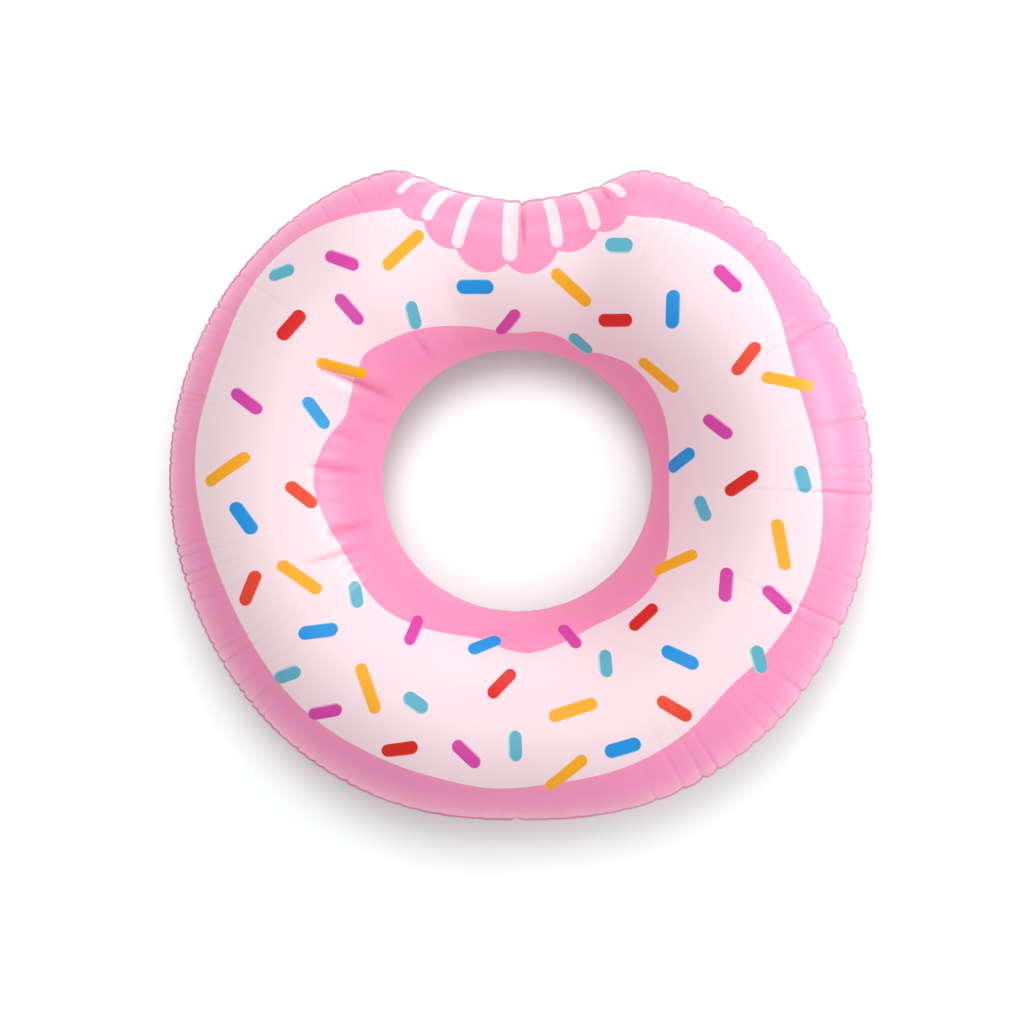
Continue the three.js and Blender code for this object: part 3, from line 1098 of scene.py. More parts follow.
@dataclass(frozen=True)
class Stroke:
    """One printed stroke with round ends on the flat sheet, in mm."""

    ink: Ink
    centre: tuple[float, float]
    direction: tuple[float, float]
    half: float
    radius: float

    @classmethod
    def sprinkle(cls, kind: Sprinkle, clock: float, distance: float, turn: float) -> "Stroke":
        """Makes a sprinkle of its ink's own size.

        Args:
            kind: Which sprinkle.
            clock: Direction from the hole's centre, in degrees.
            distance: Distance from the hole's centre on the flat sheet, in mm.
            turn: Direction of the sprinkle's length, in degrees.

        Returns:
            The stroke.
        """
        ink = kind.value
        heading = polar(turn, 1.0)
        # the lighter rim lies on the stroke's left, so turn its heading round where it must
        left = np.array([-heading[1], heading[0]])
        if left @ np.array(ink.rim_side) < 0:
            heading = -heading
        half = (ink.length - ink.width) / 2
        centre = tuple(polar(clock, distance))
        return cls(ink, centre, tuple(heading), half, ink.width / 2)

    @classmethod
    def stripe(
        cls, start: tuple[float, float], end: tuple[float, float], radius: float
    ) -> "Stroke":
        """Makes a stripe between two places of the flat sheet.

        Args:
            start: Direction in degrees and distance in mm of its first end.
            end: The same for its other end.
            radius: Half of its width.

        Returns:
            The stroke.
        """
        a, b = polar(*start), polar(*end)
        length = float(np.hypot(*(b - a)))
        heading = tuple((b - a) / length)
        return cls(Sprinkle.STRIPE.value, tuple((a + b) / 2), heading, length / 2, radius)


@dataclass
class PrintJob:
    """The print on the upper sheet, written on to its mesh for the material to draw."""

    tooth_half: float = 70.0
    strokes: list[Stroke] = field(init=False)

    def __post_init__(self) -> None:
        """Collects the sprinkles and the stripes."""
        self.strokes = [Stroke.sprinkle(*entry) for entry in SPRINKLES]
        self.strokes += [Stroke.stripe(*entry) for entry in BITE_STRIPES]

    def icing(self, plan: np.ndarray, flat: np.ndarray) -> np.ndarray:
        """How far inside the icing each point is, in mm.

        Args:
            plan: Points seen from above.
            flat: The same points on the flat sheet.

        Returns:
            Distance to the icing's edge, negative on the bare film.
        """
        clock = np.degrees(np.arctan2(plan[..., 1], plan[..., 0]))
        reach = np.hypot(plan[..., 0], plan[..., 1])
        inside = np.minimum(
            round_curve(ICING_OUTER, clock) - reach, reach - round_curve(ICING_INNER, clock)
        )
        for angle, distance, radius in BITE_TEETH:
            outward = polar(angle, 1.0)
            middle = outward * (distance + self.tooth_half)
            tooth = capsule_distance(flat, middle, outward, self.tooth_half, radius)
            inside = np.minimum(inside, tooth)
        return inside

    def write(self, mesh: bpy.types.Mesh, quads: np.ndarray, flat: np.ndarray) -> None:
        """Writes the nearest stroke's place and inks on to each corner of each face.

        Args:
            mesh: The upper sheet's mesh.
            quads: Its faces.
            flat: Its points on the flat sheet.
        """
        middles = flat[quads].mean(1)
        best = np.full(len(quads), np.inf)
        nearest = np.zeros(len(quads), int)
        for number, stroke in enumerate(self.strokes):
            centre, heading = np.array(stroke.centre), np.array(stroke.direction)
            away = capsule_distance(middles, centre, heading, stroke.half, stroke.radius)
            closer = away < best
            best[closer], nearest[closer] = away[closer], number
        corner = np.repeat(nearest, 4)
        centre = np.array([stroke.centre for stroke in self.strokes])[corner]
        heading = np.array([stroke.direction for stroke in self.strokes])[corner]
        offset = flat[quads.ravel()] - centre
        along = (offset * heading).sum(1)
        across = offset[:, 1] * heading[:, 0] - offset[:, 0] * heading[:, 1]
        half = np.array([stroke.half for stroke in self.strokes])[corner]
        self.store(mesh, "stroke_place", "FLOAT_VECTOR", np.stack([along, across, half], 1))
        inks = [[*srgb(stroke.ink.colour)[:3], stroke.radius] for stroke in self.strokes]
        rims = [[*srgb(stroke.ink.rim)[:3], stroke.ink.rim_width] for stroke in self.strokes]
        self.store(mesh, "ink_colour", "FLOAT_COLOR", np.array(inks)[corner])
        self.store(mesh, "rim_colour", "FLOAT_COLOR", np.array(rims)[corner])

    @staticmethod
    def store(mesh: bpy.types.Mesh, name: str, kind: str, values: np.ndarray) -> None:
        """Stores one value for each face corner.

        Args:
            mesh: The mesh.
            name: Name of the attribute.
            kind: Its type, FLOAT_VECTOR or FLOAT_COLOR.
            values: One row for each face corner.
        """
        attribute = mesh.attributes.new(name, kind, "CORNER")
        key = "color" if kind == "FLOAT_COLOR" else "vector"
        attribute.data.foreach_set(key, values.astype(np.float32).ravel())


# --- Valve's own frame ---

STOPPER_HINGE = (11.0, 21.6)  # mm across and out from the valve's origin


@dataclass
class ValveFrame:
    """Places millimetres along the valve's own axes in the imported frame, in metres."""

    origin: Vector
    across: Vector
    up: Vector
    out: Vector

    @classmethod
    def from_joints(cls, joints: list[dict]) -> "ValveFrame":
        """Reads the valve's axes from its joints: it slides outwards and its stopper swings.

        Args:
            joints: The frame's joints.

        Returns:
            The valve's frame.
        """
        by_name = {joint["name"]: joint for joint in joints}
        out = Vector(by_name["valve_push"]["axis"]).normalized()
        up = Vector(by_name["stopper_swing"]["axis"]).normalized()
        across = up.cross(out)
        hinge = Vector(by_name["stopper_swing"]["pos_m"])
        origin = hinge - (STOPPER_HINGE[0] * across + STOPPER_HINGE[1] * out) * MM
        return cls(origin, across, up, out)

    def point(self, x: float, y: float, z: float) -> Vector:
        """Frame point in metres of a place in the valve's millimetres."""
        return self.origin + (self.across * x + self.up * y + self.out * z) * MM

    def matrix(self) -> Matrix:
        """Takes the valve's millimetres to the frame's metres."""
        turn = Matrix((self.across, self.up, self.out)).transposed().to_4x4()
        return Matrix.Translation(self.origin) @ turn @ Matrix.Scale(MM, 4)


# --- Film and seams ---


@dataclass
class BlownRing:
    """The two film sheets and the welded margins that join them."""

    shape: RingShape
    centre: Vector
    valve: ValveFrame
    fine_rows: int = 20
    fine_mm: float = 55.0
    row_mm: float = 5.8
    lower_stretch: float = 0.85
    inner_calm: float = 14.0
    slack: float = 1.012
    floor_round: float = 1.2
    valve_hole: float = 14.5
    valve_edge: float = 16.0
    valve_flat: float = 22.0
    valve_dish: float = 62.0
    valve_near: float = 60.0
    slow_waves: int = 14
    slow_wave_mm: tuple[float, float] = (130, 320)
    slow_wave_height: float = 0.16
    soft_fold_gap: tuple[float, float] = (38, 80)
    soft_fold_width: tuple[float, float] = (6, 11)
    soft_fold_depth: tuple[float, float] = (0.25, 1.5)
    soft_fold_reach: float = 42.0
    settle_mm: float = 30.0
    fin_half: float = 0.3
    fin_root: float = 1.0
    fin_wave: float = 0.9
    fin_follows: float = 0.75
    inner_fin: float = 1.6
    inner_curl: float = 3.0
    inner_ripple: float = 0.4
    gathers: SeamGathers = field(init=False)
    angle: np.ndarray = field(init=False)
    crease: np.ndarray = field(init=False)
    part: np.ndarray = field(init=False)
    rows: np.ndarray = field(init=False)

    def __post_init__(self) -> None:
        """Lays out the grid of points that both sheets share along the seam."""
        self.gathers = SeamGathers(self.shape)
        self.angle, self.crease, self.part = self.gathers.columns()
        whole = self.shape.from_seam[-1]
        fine = self.fine_mm * (np.arange(self.fine_rows) / self.fine_rows) ** 1.35
        coarse = np.linspace(self.fine_mm, whole, round((whole - self.fine_mm) / self.row_mm) + 1)
        self.rows = np.concatenate([fine, coarse])

    def to_frame(self, points: np.ndarray) -> np.ndarray:
        """Takes the ring's millimetres to the frame's metres."""
        return points * MM + np.array(self.centre)

    def smooth_grid(self, side: int) -> tuple[np.ndarray, ...]:
        """The smooth surface of one sheet.

        Args:
            side: 1 for the upper sheet, -1 for the lower one.

        Returns:
            Its points, their outward normals, their distance from the outer seam, and their
            places on the flat sheet.
        """
        rows, angle = np.meshgrid(self.rows, self.angle, indexing="ij")
        plain = self.shape.surface(angle, rows)
        steps = np.linalg.norm(np.diff(plain, axis=0), axis=2)
        distance = np.concatenate([np.zeros((1, steps.shape[1])), np.cumsum(steps, 0)])
        shift = self.gathers.sideways(self.crease, self.part, distance)
        turned = angle + shift / self.shape.film_outer(self.angle)
        points = self.shape.surface(turned, rows)
        points[..., 2] *= side
        down = np.gradient(points, axis=0)
        round_ = np.roll(points, -1, 1) - np.roll(points, 1, 1)
        normal = np.cross(down, round_)
        normal[0, :, 2] = 0
        normal /= np.linalg.norm(normal, axis=2, keepdims=True)
        outward = np.sign(normal[..., 2].mean()) * side
        normal[1:] *= outward
        normal[0] *= np.sign((normal[0, :, :2] * points[0, :, :2]).sum(1))[:, None]
        return points, normal, distance, self.flat_sheet(turned, distance)

    def undulation(self, points: np.ndarray, distance: np.ndarray, side: int) -> np.ndarray:
        """Slow unevenness of the film, with soft folds that fade out inwards from the seam.

        Args:
            points: Points of the smooth sheet.
            distance: Their distance from the outer seam.
            side: 1 for the upper sheet, -1 for the lower one.

        Returns:
            The height in mm at each point.
        """
        rng = np.random.default_rng(SEED + 5 + side)
        height = np.zeros(distance.shape)
        for _ in range(self.slow_waves):
            wave = rng.normal(0, 1, 2)
            wave *= 2 * math.pi / (rng.uniform(*self.slow_wave_mm) * np.linalg.norm(wave))
            phase = rng.uniform(0, 2 * math.pi)
            height += self.slow_wave_height * np.sin(points[..., :2] @ wave + phase)
        settled = 1 - np.exp(-((distance / self.settle_mm) ** 2))
        middle = self.soft_fold_reach
        reach = np.exp(-(((distance - middle) / middle) ** 2)) * settled
        at = 0.0
        while at < 2 * math.pi:
            wide = rng.uniform(*self.soft_fold_width)
            deep = rng.uniform(*self.soft_fold_depth)
            off = (self.angle - at + math.pi) % (2 * math.pi) - math.pi
            across = off * SEAM_RADIUS / wide
            height -= deep * reach * np.exp(-(across**2))
            at += rng.uniform(*self.soft_fold_gap) / SEAM_RADIUS
        return height * settled

    def film_points(self, side: int) -> tuple[np.ndarray, ...]:
        """The gathered and creased surface of one sheet.

        Args:
            side: 1 for the upper sheet, -1 for the lower one.

        Returns:
            Its points, the same points before they were creased, their places on the flat
            sheet, and the painted shade along the creases.
        """
        smooth, normal, distance, flat = self.smooth_grid(side)
        stretch = 1.0 if side > 0 else self.lower_stretch
        sink = self.gathers.sink(self.crease, self.part, distance, stretch)
        lift = self.undulation(smooth, distance, side) - sink
        # painted shade along the seam's creases
        painted_shade_mask = self.gathers.painted_crease_shade(self.crease, self.part, distance)
        if side > 0:
            for crease in INNER_CREASES + BITE_CREASES:
                lift -= crease.sink(smooth[..., :2])
                # painted shade along these creases as well
                painted_shade_mask = np.maximum(painted_shade_mask, crease.painted_crease_shade(smooth[..., :2]))
        fade = smooth_step(self.rows[-1] - self.rows, 0, self.inner_calm)[:, None]
        fade[0] = 1
        points = smooth + normal * (lift * fade)[..., None]
        return points, smooth, flat, painted_shade_mask

    def rest_on_floor(self, points: np.ndarray) -> None:
        """Flattens the lower sheet where it lies on the floor.

        Args:
            points: The sheet's points, changed in place.
        """
        deep = -points[..., 2] * self.slack
        limit = self.shape.crown
        over = np.logaddexp(0, (deep - limit) / self.floor_round) * self.floor_round
        points[..., 2] = -np.minimum(deep - over, limit)

    def valve_axis(self) -> tuple[np.ndarray, np.ndarray]:
        """The valve's origin in the ring's millimetres and its outward direction."""
        origin = (np.array(self.valve.origin) - np.array(self.centre)) / MM
        return origin, np.array(self.valve.out)

    def seat_valve(self, points: np.ndarray) -> np.ndarray:
        """Lays the lower sheet flat round the valve.

        Args:
            points: The sheet's points, changed in place.

        Returns:
            Each point's distance from the valve's axis, in mm.
        """
        origin, out = self.valve_axis()
        offset = points - origin
        height = offset @ out
        away = np.linalg.norm(offset - height[..., None] * out, axis=-1)
        near = np.abs(height) < self.valve_near
        pull = (1 - smooth_step(away, self.valve_flat, self.valve_dish)) * near
        points -= (height * pull)[..., None] * out
        return np.where(near, away, np.inf)

    def trim_hole(self, points: np.ndarray, edge: np.ndarray) -> None:
        """Draws the cut edge of the valve's hole in to a circle under the flange.

        Args:
            points: The sheet's points, changed in place.
            edge: Which points lie on the cut edge.
        """
        origin, out = self.valve_axis()
        listed = points.reshape(-1, 3)
        offset = listed[edge] - origin
        height = (offset @ out)[:, None] * out
        across = offset - height
        across *= self.valve_edge / np.linalg.norm(across, axis=1, keepdims=True)
        listed[edge] = origin + across + height

    def flat_sheet(self, angle: np.ndarray, distance: np.ndarray) -> np.ndarray:
        """Lays the film out flat: distances run along the film outwards from the inner seam."""
        reach = self.shape.film_inner + self.shape.hole_shift(angle) + distance[-1] - distance
        return np.stack([reach * np.cos(angle), reach * np.sin(angle)], -1)

    def make_sheet(
        self, side: int, name: str, material: bpy.types.Material
    ) -> bpy.types.Object:
        """Builds one sheet.

        Args:
            side: 1 for the upper sheet, -1 for the lower one.
            name: Name of the piece.
            material: Its material.

        Returns:
            The new object.
        """
        points, smooth, flat, painted_shade_mask = self.film_points(side)
        quads = ring_quads(*points.shape[:2])
        if side > 0:
            quads = quads[:, ::-1]
        else:
            self.rest_on_floor(points)
            away = self.seat_valve(points).ravel()
            kept = (away[quads] > self.valve_hole).all(1)
            self.trim_hole(points, np.intersect1d(quads[kept], quads[~kept]))
            quads = quads[kept]
        flat_list = flat.reshape(-1, 2)
        mesh = quad_mesh(name, self.to_frame(points.reshape(-1, 3)), quads)
        # a layer of its own for each sheet, so that their mottling differs
        layer = np.full(len(flat_list), 1000.0 * side)
        write_points(mesh, "flat_mm", np.column_stack([flat_list, layer]))
        # painted shade along the creases, which the material mixes into the colour
        write_points(mesh, "painted_crease_shade", painted_shade_mask.ravel())
        if side > 0:
            job = PrintJob()
            job.write(mesh, quads, flat_list)
            write_points(mesh, "icing_mm", job.icing(smooth[..., :2], flat).ravel())
        else:
            self.drop_loose(mesh)
        piece = new_object(name, mesh, material)
        LOG.info("%s: %d faces", name, len(mesh.polygons))
        return piece

    @staticmethod
    def drop_loose(mesh: bpy.types.Mesh) -> None:
        """Deletes points that no face uses.

        Args:
            mesh: The mesh, changed in place.
        """
        work = bmesh.new()
        work.from_mesh(mesh)
        loose = [v for v in work.verts if not v.link_faces]
        bmesh.ops.delete(work, geom=loose, context="VERTS")
        work.to_mesh(mesh)
        work.free()

    def make_margin(
        self, name: str, weld: np.ndarray, free: np.ndarray, wave: np.ndarray,
        material: bpy.types.Material,
    ) -> bpy.types.Object:
        """Builds a welded margin: two films fused into one thin fin.

        Args:
            name: Name of the piece.
            weld: Radius at each column of the edge at the air chamber.
            free: Radius at each column of the free edge.
            wave: How far its free edge waves up or down, in mm.
            material: Its material.

        Returns:
            The new object.
        """
        half = self.fin_half
        # across the fin, over its upper face, round the free edge and back under it
        over = [(0.0, half), (0.3, half), (0.42, half * 1.5), (0.54, half), (0.92, half)]
        loop = over + [(1.0, 0.0)] + [(share, -height) for share, height in over[::-1]]
        round_ = np.stack([np.cos(self.angle), np.sin(self.angle)], -1)
        points, flat = [], []
        for share, height in loop:
            plan = (weld + share * (free - weld))[:, None] * round_
            lift = height + wave * share**1.5
            layer = np.full(len(plan), 500.0 * np.sign(height))
            points.append(np.column_stack([plan, lift]))
            flat.append(np.column_stack([plan, layer]))
        quads = ring_quads(len(loop), len(self.angle), closed_rows=True)
        if free.mean() > weld.mean():
            quads = quads[:, ::-1]
        mesh = quad_mesh(name, self.to_frame(np.concatenate(points)), quads)
        write_points(mesh, "flat_mm", np.concatenate(flat))
        along = self.angle * max(weld.mean(), free.mean())
        write_points(mesh, "along_mm", np.tile(along, len(loop)))
        LOG.info("%s: %d faces", name, len(mesh.polygons))
        return new_object(name, mesh, material)

    def outer_margin(self, weld: bpy.types.Material) -> bpy.types.Object:
        """Builds the margin round the outside, gathered with the film.

        Args:
            weld: Its material.

        Returns:
            The new object.
        """
        at_seam = np.zeros((1, len(self.angle)))
        sink = self.gathers.sink(self.crease, self.part, at_seam)[0]
        rng = np.random.default_rng(SEED + 1)
        tilt = rng.normal(0, self.fin_wave, len(self.gathers.angles))
        after = (self.crease + 1) % len(tilt)
        wave = (1 - self.part) * tilt[self.crease] + self.part * tilt[after]
        seam = self.shape.film_outer(self.angle) - sink - self.fin_root
        edge = self.shape.outline(self.angle) - self.fin_follows * sink
        return self.make_margin("outer_welded_margin", seam, edge, wave, weld)

    def inner_margin(self, weld: bpy.types.Material) -> bpy.types.Object:
        """Builds the margin round the hole, which curls down under the film.

        Args:
            weld: Its material.

        Returns:
            The new object.
        """
        seam = self.shape.film_inner + self.shape.hole_shift(self.angle)
        ripple = self.inner_ripple * np.sin(self.angle * 23) * np.sin(self.angle * 7 + 1)
        edge = seam - self.inner_fin + 0.5 * ripple
        wave = ripple - self.inner_curl
        root = seam + self.fin_root
        return self.make_margin("inner_welded_margin", root, edge, wave, weld)

    def build(self) -> None:
        """Builds the sheets and margins and puts them in the CAD pieces' places."""
        weld = WeldedMargin().make()
        upper = self.make_sheet(1, "printed_upper_film", PrintedFilm().make())
        lower = self.make_sheet(-1, "pink_lower_film", PlainFilm().make())
        for piece, node, slot in [
            (upper, "upper_sheet", "printed_film"),
            (lower, "lower_sheet", "pink_film"),
            (self.outer_margin(weld), "outer_seam", "weld"),
            (self.inner_margin(weld), "inner_seam", "weld"),
        ]:
            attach(piece, "float")
            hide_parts(node)


# --- Valve ---


@dataclass
class PushInValve:
    """The push-in valve, in millimetres from the film's face outwards along its own axis."""

    frame: ValveFrame
    sides: int = 72
    flange: tuple[float, float] = (13.5, 19.0)
    bore: float = 5.0
    wall: float = 6.6
    collar: float = 7.8
    lip: float = 7.4
    top: float = 22.0
    web_rise: float = 8.0
    strap_width: float = 4.0
    strap_sides: int = 20
    grips: int = 24
    web_wall: float = 0.6
    web_foot: float = 0.6
    web_steps: int = 18

    @staticmethod
    def rounded(corners: list[tuple[float, float]], radius: float) -> list[tuple[float, float]]:
        """Rounds the corners of an open or closed outline.

        Args:
            corners: Points of the outline; the first and last stay as they are.
            radius: How far from each corner the round starts, where there is room.

        Returns:
            The outline with its inner corners rounded.
        """
        made = [corners[0]]
        for before, at, after in zip(corners, corners[1:], corners[2:]):
            b, c, a = (np.array(p, float) for p in (before, at, after))
            reach = min(radius, 0.45 * np.hypot(*(b - c)), 0.45 * np.hypot(*(a - c)))
            start = c + (b - c) / np.hypot(*(b - c)) * reach
            end = c + (a - c) / np.hypot(*(a - c)) * reach
            for t in (0.0, 0.25, 0.5, 0.75, 1.0):
                point = (1 - t) ** 2 * start + 2 * t * (1 - t) * c + t * t * end
                made.append(tuple(point))
        made.append(corners[-1])
        return made

    def turned(
        self, work: bmesh.types.BMesh, profile: list[tuple[float, float]], radius: float,
        closed: bool = True,
    ) -> None:
        """Turns a profile of (radius, height) points round the valve's axis into work.

        Args:
            work: The mesh that the turned body joins.
            profile: Points of the profile, from the axis to the axis or right round.
            radius: Rounding of its corners.
            closed: Whether the profile closes on itself rather than on the axis.
        """
        if closed:
            # start in the middle of a side, so that every corner is rounded
            first, last = np.array(profile[0]), np.array(profile[-1])
            middle = tuple((first + last) / 2)
            profile = [middle, *profile, middle]
        outline = self.rounded(profile, radius)
        if closed:
            outline = outline[:-1]
        rings = []
        for distance, height in outline:
            if distance < 1e-6:
                rings.append([work.verts.new((0, 0, height))] * self.sides)
                continue
            ring = []
            for i in range(self.sides):
                turn = 2 * math.pi * i / self.sides
                ring.append(work.verts.new(
                    (distance * math.cos(turn), distance * math.sin(turn), height)
                ))
            rings.append(ring)
        pairs = list(zip(rings, rings[1:]))
        if closed:
            pairs.append((rings[-1], rings[0]))
        for one, other in pairs:
            for i in range(self.sides):
                k = (i + 1) % self.sides
                corners = list(dict.fromkeys([one[i], one[k], other[k], other[i]]))
                if len(corners) > 2:
                    work.faces.new(corners)

    def ribbon(
        self, work: bmesh.types.BMesh, path: list[tuple[float, float]], width: float,
        thick: float,
    ) -> None:
        """Sweeps a strap with rounded edges along a path in the valve's X-Z plane.

        Args:
            work: The mesh that the strap joins.
            path: (x, z) points of its middle line.
            width: Width along Y.
            thick: Thickness.
        """
        line = self.rounded(path, 2.0)
        section = []
        for i in range(self.strap_sides):
            turn = 2 * math.pi * i / self.strap_sides
            c, s = math.cos(turn), math.sin(turn)
            # a rounded rectangle
            section.append((
                width / 2 * math.copysign(abs(c) ** 0.35, c),
                thick / 2 * math.copysign(abs(s) ** 0.6, s),
            ))
        rings = []
        for i, (x, z) in enumerate(line):
            x0, z0 = line[max(0, i - 1)]
            x1, z1 = line[min(len(line) - 1, i + 1)]
            length = math.hypot(x1 - x0, z1 - z0)
            nx, nz = -(z1 - z0) / length, (x1 - x0) / length
            rings.append([work.verts.new((x + nx * t, w, z + nz * t)) for w, t in section])
        for one, other in zip(rings, rings[1:]):
            for i in range(len(section)):
                k = (i + 1) % len(section)
                work.faces.new([one[i], one[k], other[k], other[i]])
        work.faces.new(rings[0])
        work.faces.new(rings[-1][::-1])

    def finish_piece(
        self, name: str, work: bmesh.types.BMesh, material: bpy.types.Material, node: str,
    ) -> bpy.types.Object:
        """Turns a body into a piece in its CAD node's place.

        Args:
            name: Name of the piece.
            work: The body, in the valve's millimetres; it is used up.
            material: Its material.
            node: The CAD node that it replaces.

        Returns:
            The new object.
        """
        bmesh.ops.recalc_face_normals(work, faces=work.faces)
        mesh = bpy.data.meshes.new(name)
        work.to_mesh(mesh)
        work.free()
        mesh.transform(self.frame.matrix())
        piece = new_object(name, mesh, material)
        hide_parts(node)
        LOG.info("%s: %d faces", name, len(mesh.polygons))
        return piece

    def make_flange(self, vinyl: bpy.types.Material) -> None:
        """The flat ring that is welded to the film, with the welding tool's rings on it.

        Args:
            vinyl: Its material.
        """
        inner, outer = self.flange
        work = bmesh.new()
        low, high, rib = 0.3, 1.15, 0.3
        profile = [(inner, low), (outer, low), (outer, low + 0.3), (outer - 0.7, high)]
        for at in (17.4, 16.2, 15.0):
            profile += [(at + 0.35, high), (at + 0.2, high + rib), (at - 0.2, high + rib),
                        (at - 0.35, high)]
        profile += [(inner, high)]
        self.turned(work, profile, 0.3)
        piece = self.finish_piece("valve_welding_flange", work, vinyl, "valve_flange")
        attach(piece, "float")

    def make_web(self, vinyl: bpy.types.Material) -> None:
        """The thin cone from the flange to the collar, fixed in shape; the real one turns inside out
        when pushed in.

        Args:
            vinyl: Its material.
        """
        foot, neck = self.flange[0] - 0.1, self.collar - 0.2
        low, half = self.web_foot, self.web_wall / 2
        outer_side, inner_side = [], []
        for i in range(self.web_steps + 1):
            t = i / self.web_steps
            radius = foot + (neck - foot) * t
            rise = low + (self.web_rise - low) * (t * t * (3 - 2 * t) * 0.35 + 0.65 * t)
            outer_side.append((radius, rise + half))
            inner_side.append((radius, rise - half))
        work = bmesh.new()
        self.turned(work, outer_side + inner_side[::-1], 0.05)
        piece = self.finish_piece("valve_folding_web", work, vinyl, "valve_web")
        self.frame.point(0, 0, low)
        self.frame.point(0, 0, self.web_rise - 0.4)
        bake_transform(piece)

    def make_stem(self, vinyl: bpy.types.Material) -> None:
        """The tube that is blown into, its collar and lip, and the post of the stopper's tie.

        Args:
            vinyl: Its material.
        """
        work = bmesh.new()
        self.turned(work, [
            (self.bore, 2.0), (self.wall, 2.0), (self.wall, 6.9), (self.collar, 7.5),
            (self.collar, 9.0), (self.wall, 9.8), (self.wall, 19.6), (self.lip, 20.5),
            (self.lip, self.top), (self.bore + 0.5, self.top), (self.bore, self.top - 0.8),
            (self.bore, 12.0), (self.bore - 0.25, 11.6), (self.bore, 11.2),
        ], 0.4)
        for rib in (12.2, 13.6, 17.6):
            self.turned(work, [
                (self.wall - 0.2, rib - 0.35), (self.wall + 0.25, rib - 0.15),
                (self.wall + 0.25, rib + 0.15), (self.wall - 0.2, rib + 0.35),
            ], 0.1)
        self.ribbon(
            work, [(self.wall - 0.5, 15.9), (11.0, 15.9), (11.0, 19.4)], self.strap_width, 1.4
        )
        piece = self.finish_piece("valve_stem_tube", work, vinyl, "valve_stem")
        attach(piece, "stem")

    def make_check_ring(self, vinyl: bpy.types.Material) -> None:
        """The seat that the check flap closes against.

        Args:
            vinyl: Its material.
        """
        work = bmesh.new()
        self.turned(work, [
            (3.6, 0.4), (4.4, 0.4), (4.6, 0.22), (4.8, 0.4), (6.4, 0.4), (6.4, 1.7), (3.6, 1.7),
        ], 0.15)
        piece = self.finish_piece("check_flap_seat", work, vinyl, "check_ring")
        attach(piece, "stem")

    def make_flap(self, clear: bpy.types.Material) -> None:
        """The soft flap that keeps the air in, and the tab that it bends on.

        Args:
            clear: Its material.
        """
        work = bmesh.new()
        self.turned(
            work, [(0.0, -0.5), (3.6, -0.5), (4.5, -0.35), (4.5, 0.08), (0.0, 0.08)], 0.12,
            closed=False,
        )
        self.ribbon(work, [(-3.4, -0.2), (-4.4, -0.2), (-5.2, -0.2)], 3.0, 0.5)
        piece = self.finish_piece("check_flap_disc", work, clear, "check_flap")
        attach(piece, "flap")

    def make_stopper(self, vinyl: bpy.types.Material) -> None:
        """The tapered plug with its domed head and the bumps round it that the fingers grip.

        Args:
            vinyl: Its material.
        """
        work = bmesh.new()
        base = self.top + 0.3
        self.turned(work, [
            (0.0, 17.2), (2.3, 17.2), (2.6, 16.0), (3.2, 16.0), (4.1, 18.7), (3.8, 19.1),
            (4.3, 20.2), (4.6, self.top), (4.6, base), (8.0, base), (8.0, base + 1.1),
            (7.4, base + 1.9), (5.6, base + 2.3), (5.0, base + 1.9), (3.0, base + 1.9),
            (2.2, base + 2.3), (0.0, base + 2.4),
        ], 0.45, closed=False)
        for i in range(self.grips):
            x, y = polar(360 * (i + 0.5) / self.grips, 7.9)
            at = Matrix.Translation((x, y, base + 0.65))
            bmesh.ops.create_icosphere(work, subdivisions=2, radius=0.32, matrix=at)
        piece = self.finish_piece("stopper_plug_head", work, vinyl, "stopper_plug")
        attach(piece, "stopper")

    def make_tie(self, vinyl: bpy.types.Material) -> None:
        """The strap that keeps the stopper on the stem, in one fixed shape that stays as the stopper
        swings.

        Args:
            vinyl: Its material.
        """
        work = bmesh.new()
        x, z = STOPPER_HINGE
        head = self.top + 0.85
        path = [(x, 19.2), (x, z + 0.3), (x - 1.0, head), (7.6, head)]
        self.ribbon(work, path, self.strap_width, 0.9)
        piece = self.finish_piece("stopper_tie", work, vinyl, "stopper_strap")
        self.frame.point(x + 0.6, 0, z - 1.2)
        self.frame.point(x - 0.6, 0, z + 0.9)
        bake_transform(piece)

    def build(self) -> None:
        """Builds every piece of the valve."""
        vinyl = MouldedVinyl().make()
        clear = MouldedVinyl(
            name="clear_flap_vinyl", colour="#E4EAEC", streak="#D6DEE2", roughness=0.2,
            transmission=0.35,
        ).make()
        self.make_flange(vinyl)
        self.make_web(vinyl)
        self.make_stem(vinyl)
        self.make_check_ring(vinyl)
        self.make_flap(clear)
        self.make_stopper(vinyl)
        self.make_tie(vinyl)


# --- Studio ---


@dataclass(frozen=True)
class SoftLight:
    """A soft rectangular light that faces the ring; metres and watts."""

    name: str
    at: tuple[float, float, float]
    size: tuple[float, float]
    watts: float

    def place(self, towards: Vector) -> bpy.types.Object:
        """Adds the light to the scene.

        Args:
            towards: The point that it faces.

        Returns:
            The light's object.
        """
        light = bpy.data.lights.new(self.name, "AREA")
        light.shape = "RECTANGLE"
        light.size, light.size_y = self.size
        light.energy = self.watts
        lamp = bpy.data.objects.new(self.name, light)
        lamp.location = self.at
        facing = towards - Vector(self.at)
        lamp.rotation_euler = facing.to_track_quat("-Z", "Y").to_euler()
        bpy.context.scene.collection.objects.link(lamp)
        return lamp


RING_LIGHTS = [
    SoftLight("right_window", (3.6, 0.8, 2.0), (2.2, 1.8), 68),
    SoftLight("back_window", (0.6, 3.6, 2.3), (2.6, 1.8), 36),
    SoftLight("top_panel", (0.6, 0.3, 3.9), (3.2, 3.2), 30),
]
FLOOR_LIGHT = SoftLight("floor_key", (-0.3, 1.4, 3.6), (1.6, 1.6), 102)


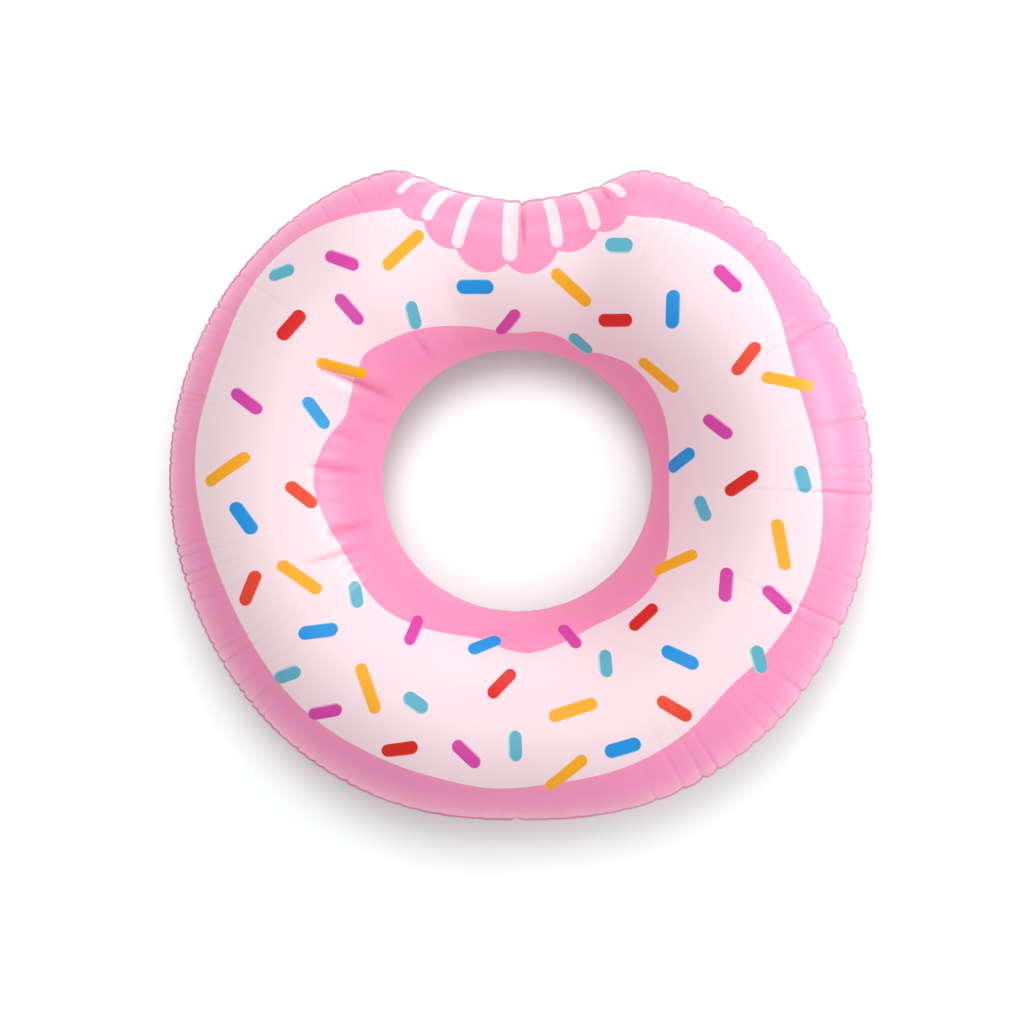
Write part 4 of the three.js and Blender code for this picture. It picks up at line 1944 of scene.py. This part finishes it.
@dataclass(frozen=True)
class Studio:
    """A plain pale floor, soft light and the camera straight above; metres."""

    hole_centre: Vector
    floor_size: float = 26.0
    floor_drop: float = 0.0004
    air: str = "#FBFAFB"
    air_strength: float = 0.6
    sky_strength: float = 1.88
    sky_angle: float = 62.0
    camera_height: float = 3.5
    camera_offset: tuple[float, float] = (-0.0114, -0.0478)
    view_width: float = 1.555

    def make_floor(self) -> bpy.types.Object:
        """Lays the floor just under the ring.

        Returns:
            The floor's object.
        """
        half = self.floor_size / 2
        work = bmesh.new()
        corners = [(-half, -half), (half, -half), (half, half), (-half, half)]
        work.faces.new([work.verts.new((x, y, -self.floor_drop)) for x, y in corners])
        bmesh.ops.subdivide_edges(work, edges=work.edges, cuts=6, use_grid_fill=True)
        mesh = bpy.data.meshes.new("studio_floor")
        work.to_mesh(mesh)
        work.free()
        floor = new_object("studio_floor", mesh, StudioPaper().make())
        return floor

    def light_floor(self, floor: bpy.types.Object) -> None:
        """Adds the lights that fall on the floor alone, which keep it pale to its edge.

        Args:
            floor: The floor's object.
        """
        sky = bpy.data.lights.new("floor_sky", "SUN")
        sky.energy = self.sky_strength
        sky.angle = math.radians(self.sky_angle)
        overhead = bpy.data.objects.new("floor_sky", sky)
        bpy.context.scene.collection.objects.link(overhead)
        receivers = bpy.data.collections.new("floor_only")
        receivers.objects.link(floor)
        for lamp in (FLOOR_LIGHT.place(self.hole_centre), overhead):
            lamp.light_linking.receiver_collection = receivers

    def make_air(self) -> None:
        """Fills the studio with even light."""
        world = bpy.data.worlds.new("studio_air")
        world.use_nodes = True
        back = world.node_tree.nodes["Background"]
        back.inputs["Color"].default_value = srgb(self.air)
        back.inputs["Strength"].default_value = self.air_strength
        bpy.context.scene.world = world

    def place_camera(self) -> None:
        """Hangs the camera over the ring, looking straight down."""
        camera = bpy.data.cameras.new("camera")
        camera.lens = camera.sensor_width * self.camera_height / self.view_width
        camera.clip_end = 50
        holder = bpy.data.objects.new("camera", camera)
        holder.location = self.hole_centre + Vector((*self.camera_offset, self.camera_height))
        bpy.context.scene.collection.objects.link(holder)
        bpy.context.scene.camera = holder

    def build(self) -> None:
        """Sets up the floor, the lights and the camera."""
        bpy.context.scene.view_settings.view_transform = "Standard"
        floor = self.make_floor()
        self.light_floor(floor)
        self.make_air()
        for light in RING_LIGHTS:
            light.place(self.hole_centre)
        self.place_camera()
        LOG.info("studio: floor, %d lights and camera", len(bpy.data.lights))


def main() -> None:
    """Builds the ring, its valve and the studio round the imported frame."""
    logging.basicConfig(level=logging.INFO, format="%(name)s: %(message)s")
    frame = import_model()
    hole_low, hole_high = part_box("inner_seam")
    centre = (hole_low + hole_high) / 2
    crown = (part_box("upper_sheet")[1].z - centre.z) / MM
    half_width = (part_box("outer_seam")[1].x - centre.x) / MM
    shape = RingShape.fitted(crown, half_width)
    valve_frame = ValveFrame.from_joints(frame["joints"])
    BlownRing(shape, centre, valve_frame).build()
    PushInValve(valve_frame).build()
    Studio(centre).build()


if __name__ == "__main__":
    main()
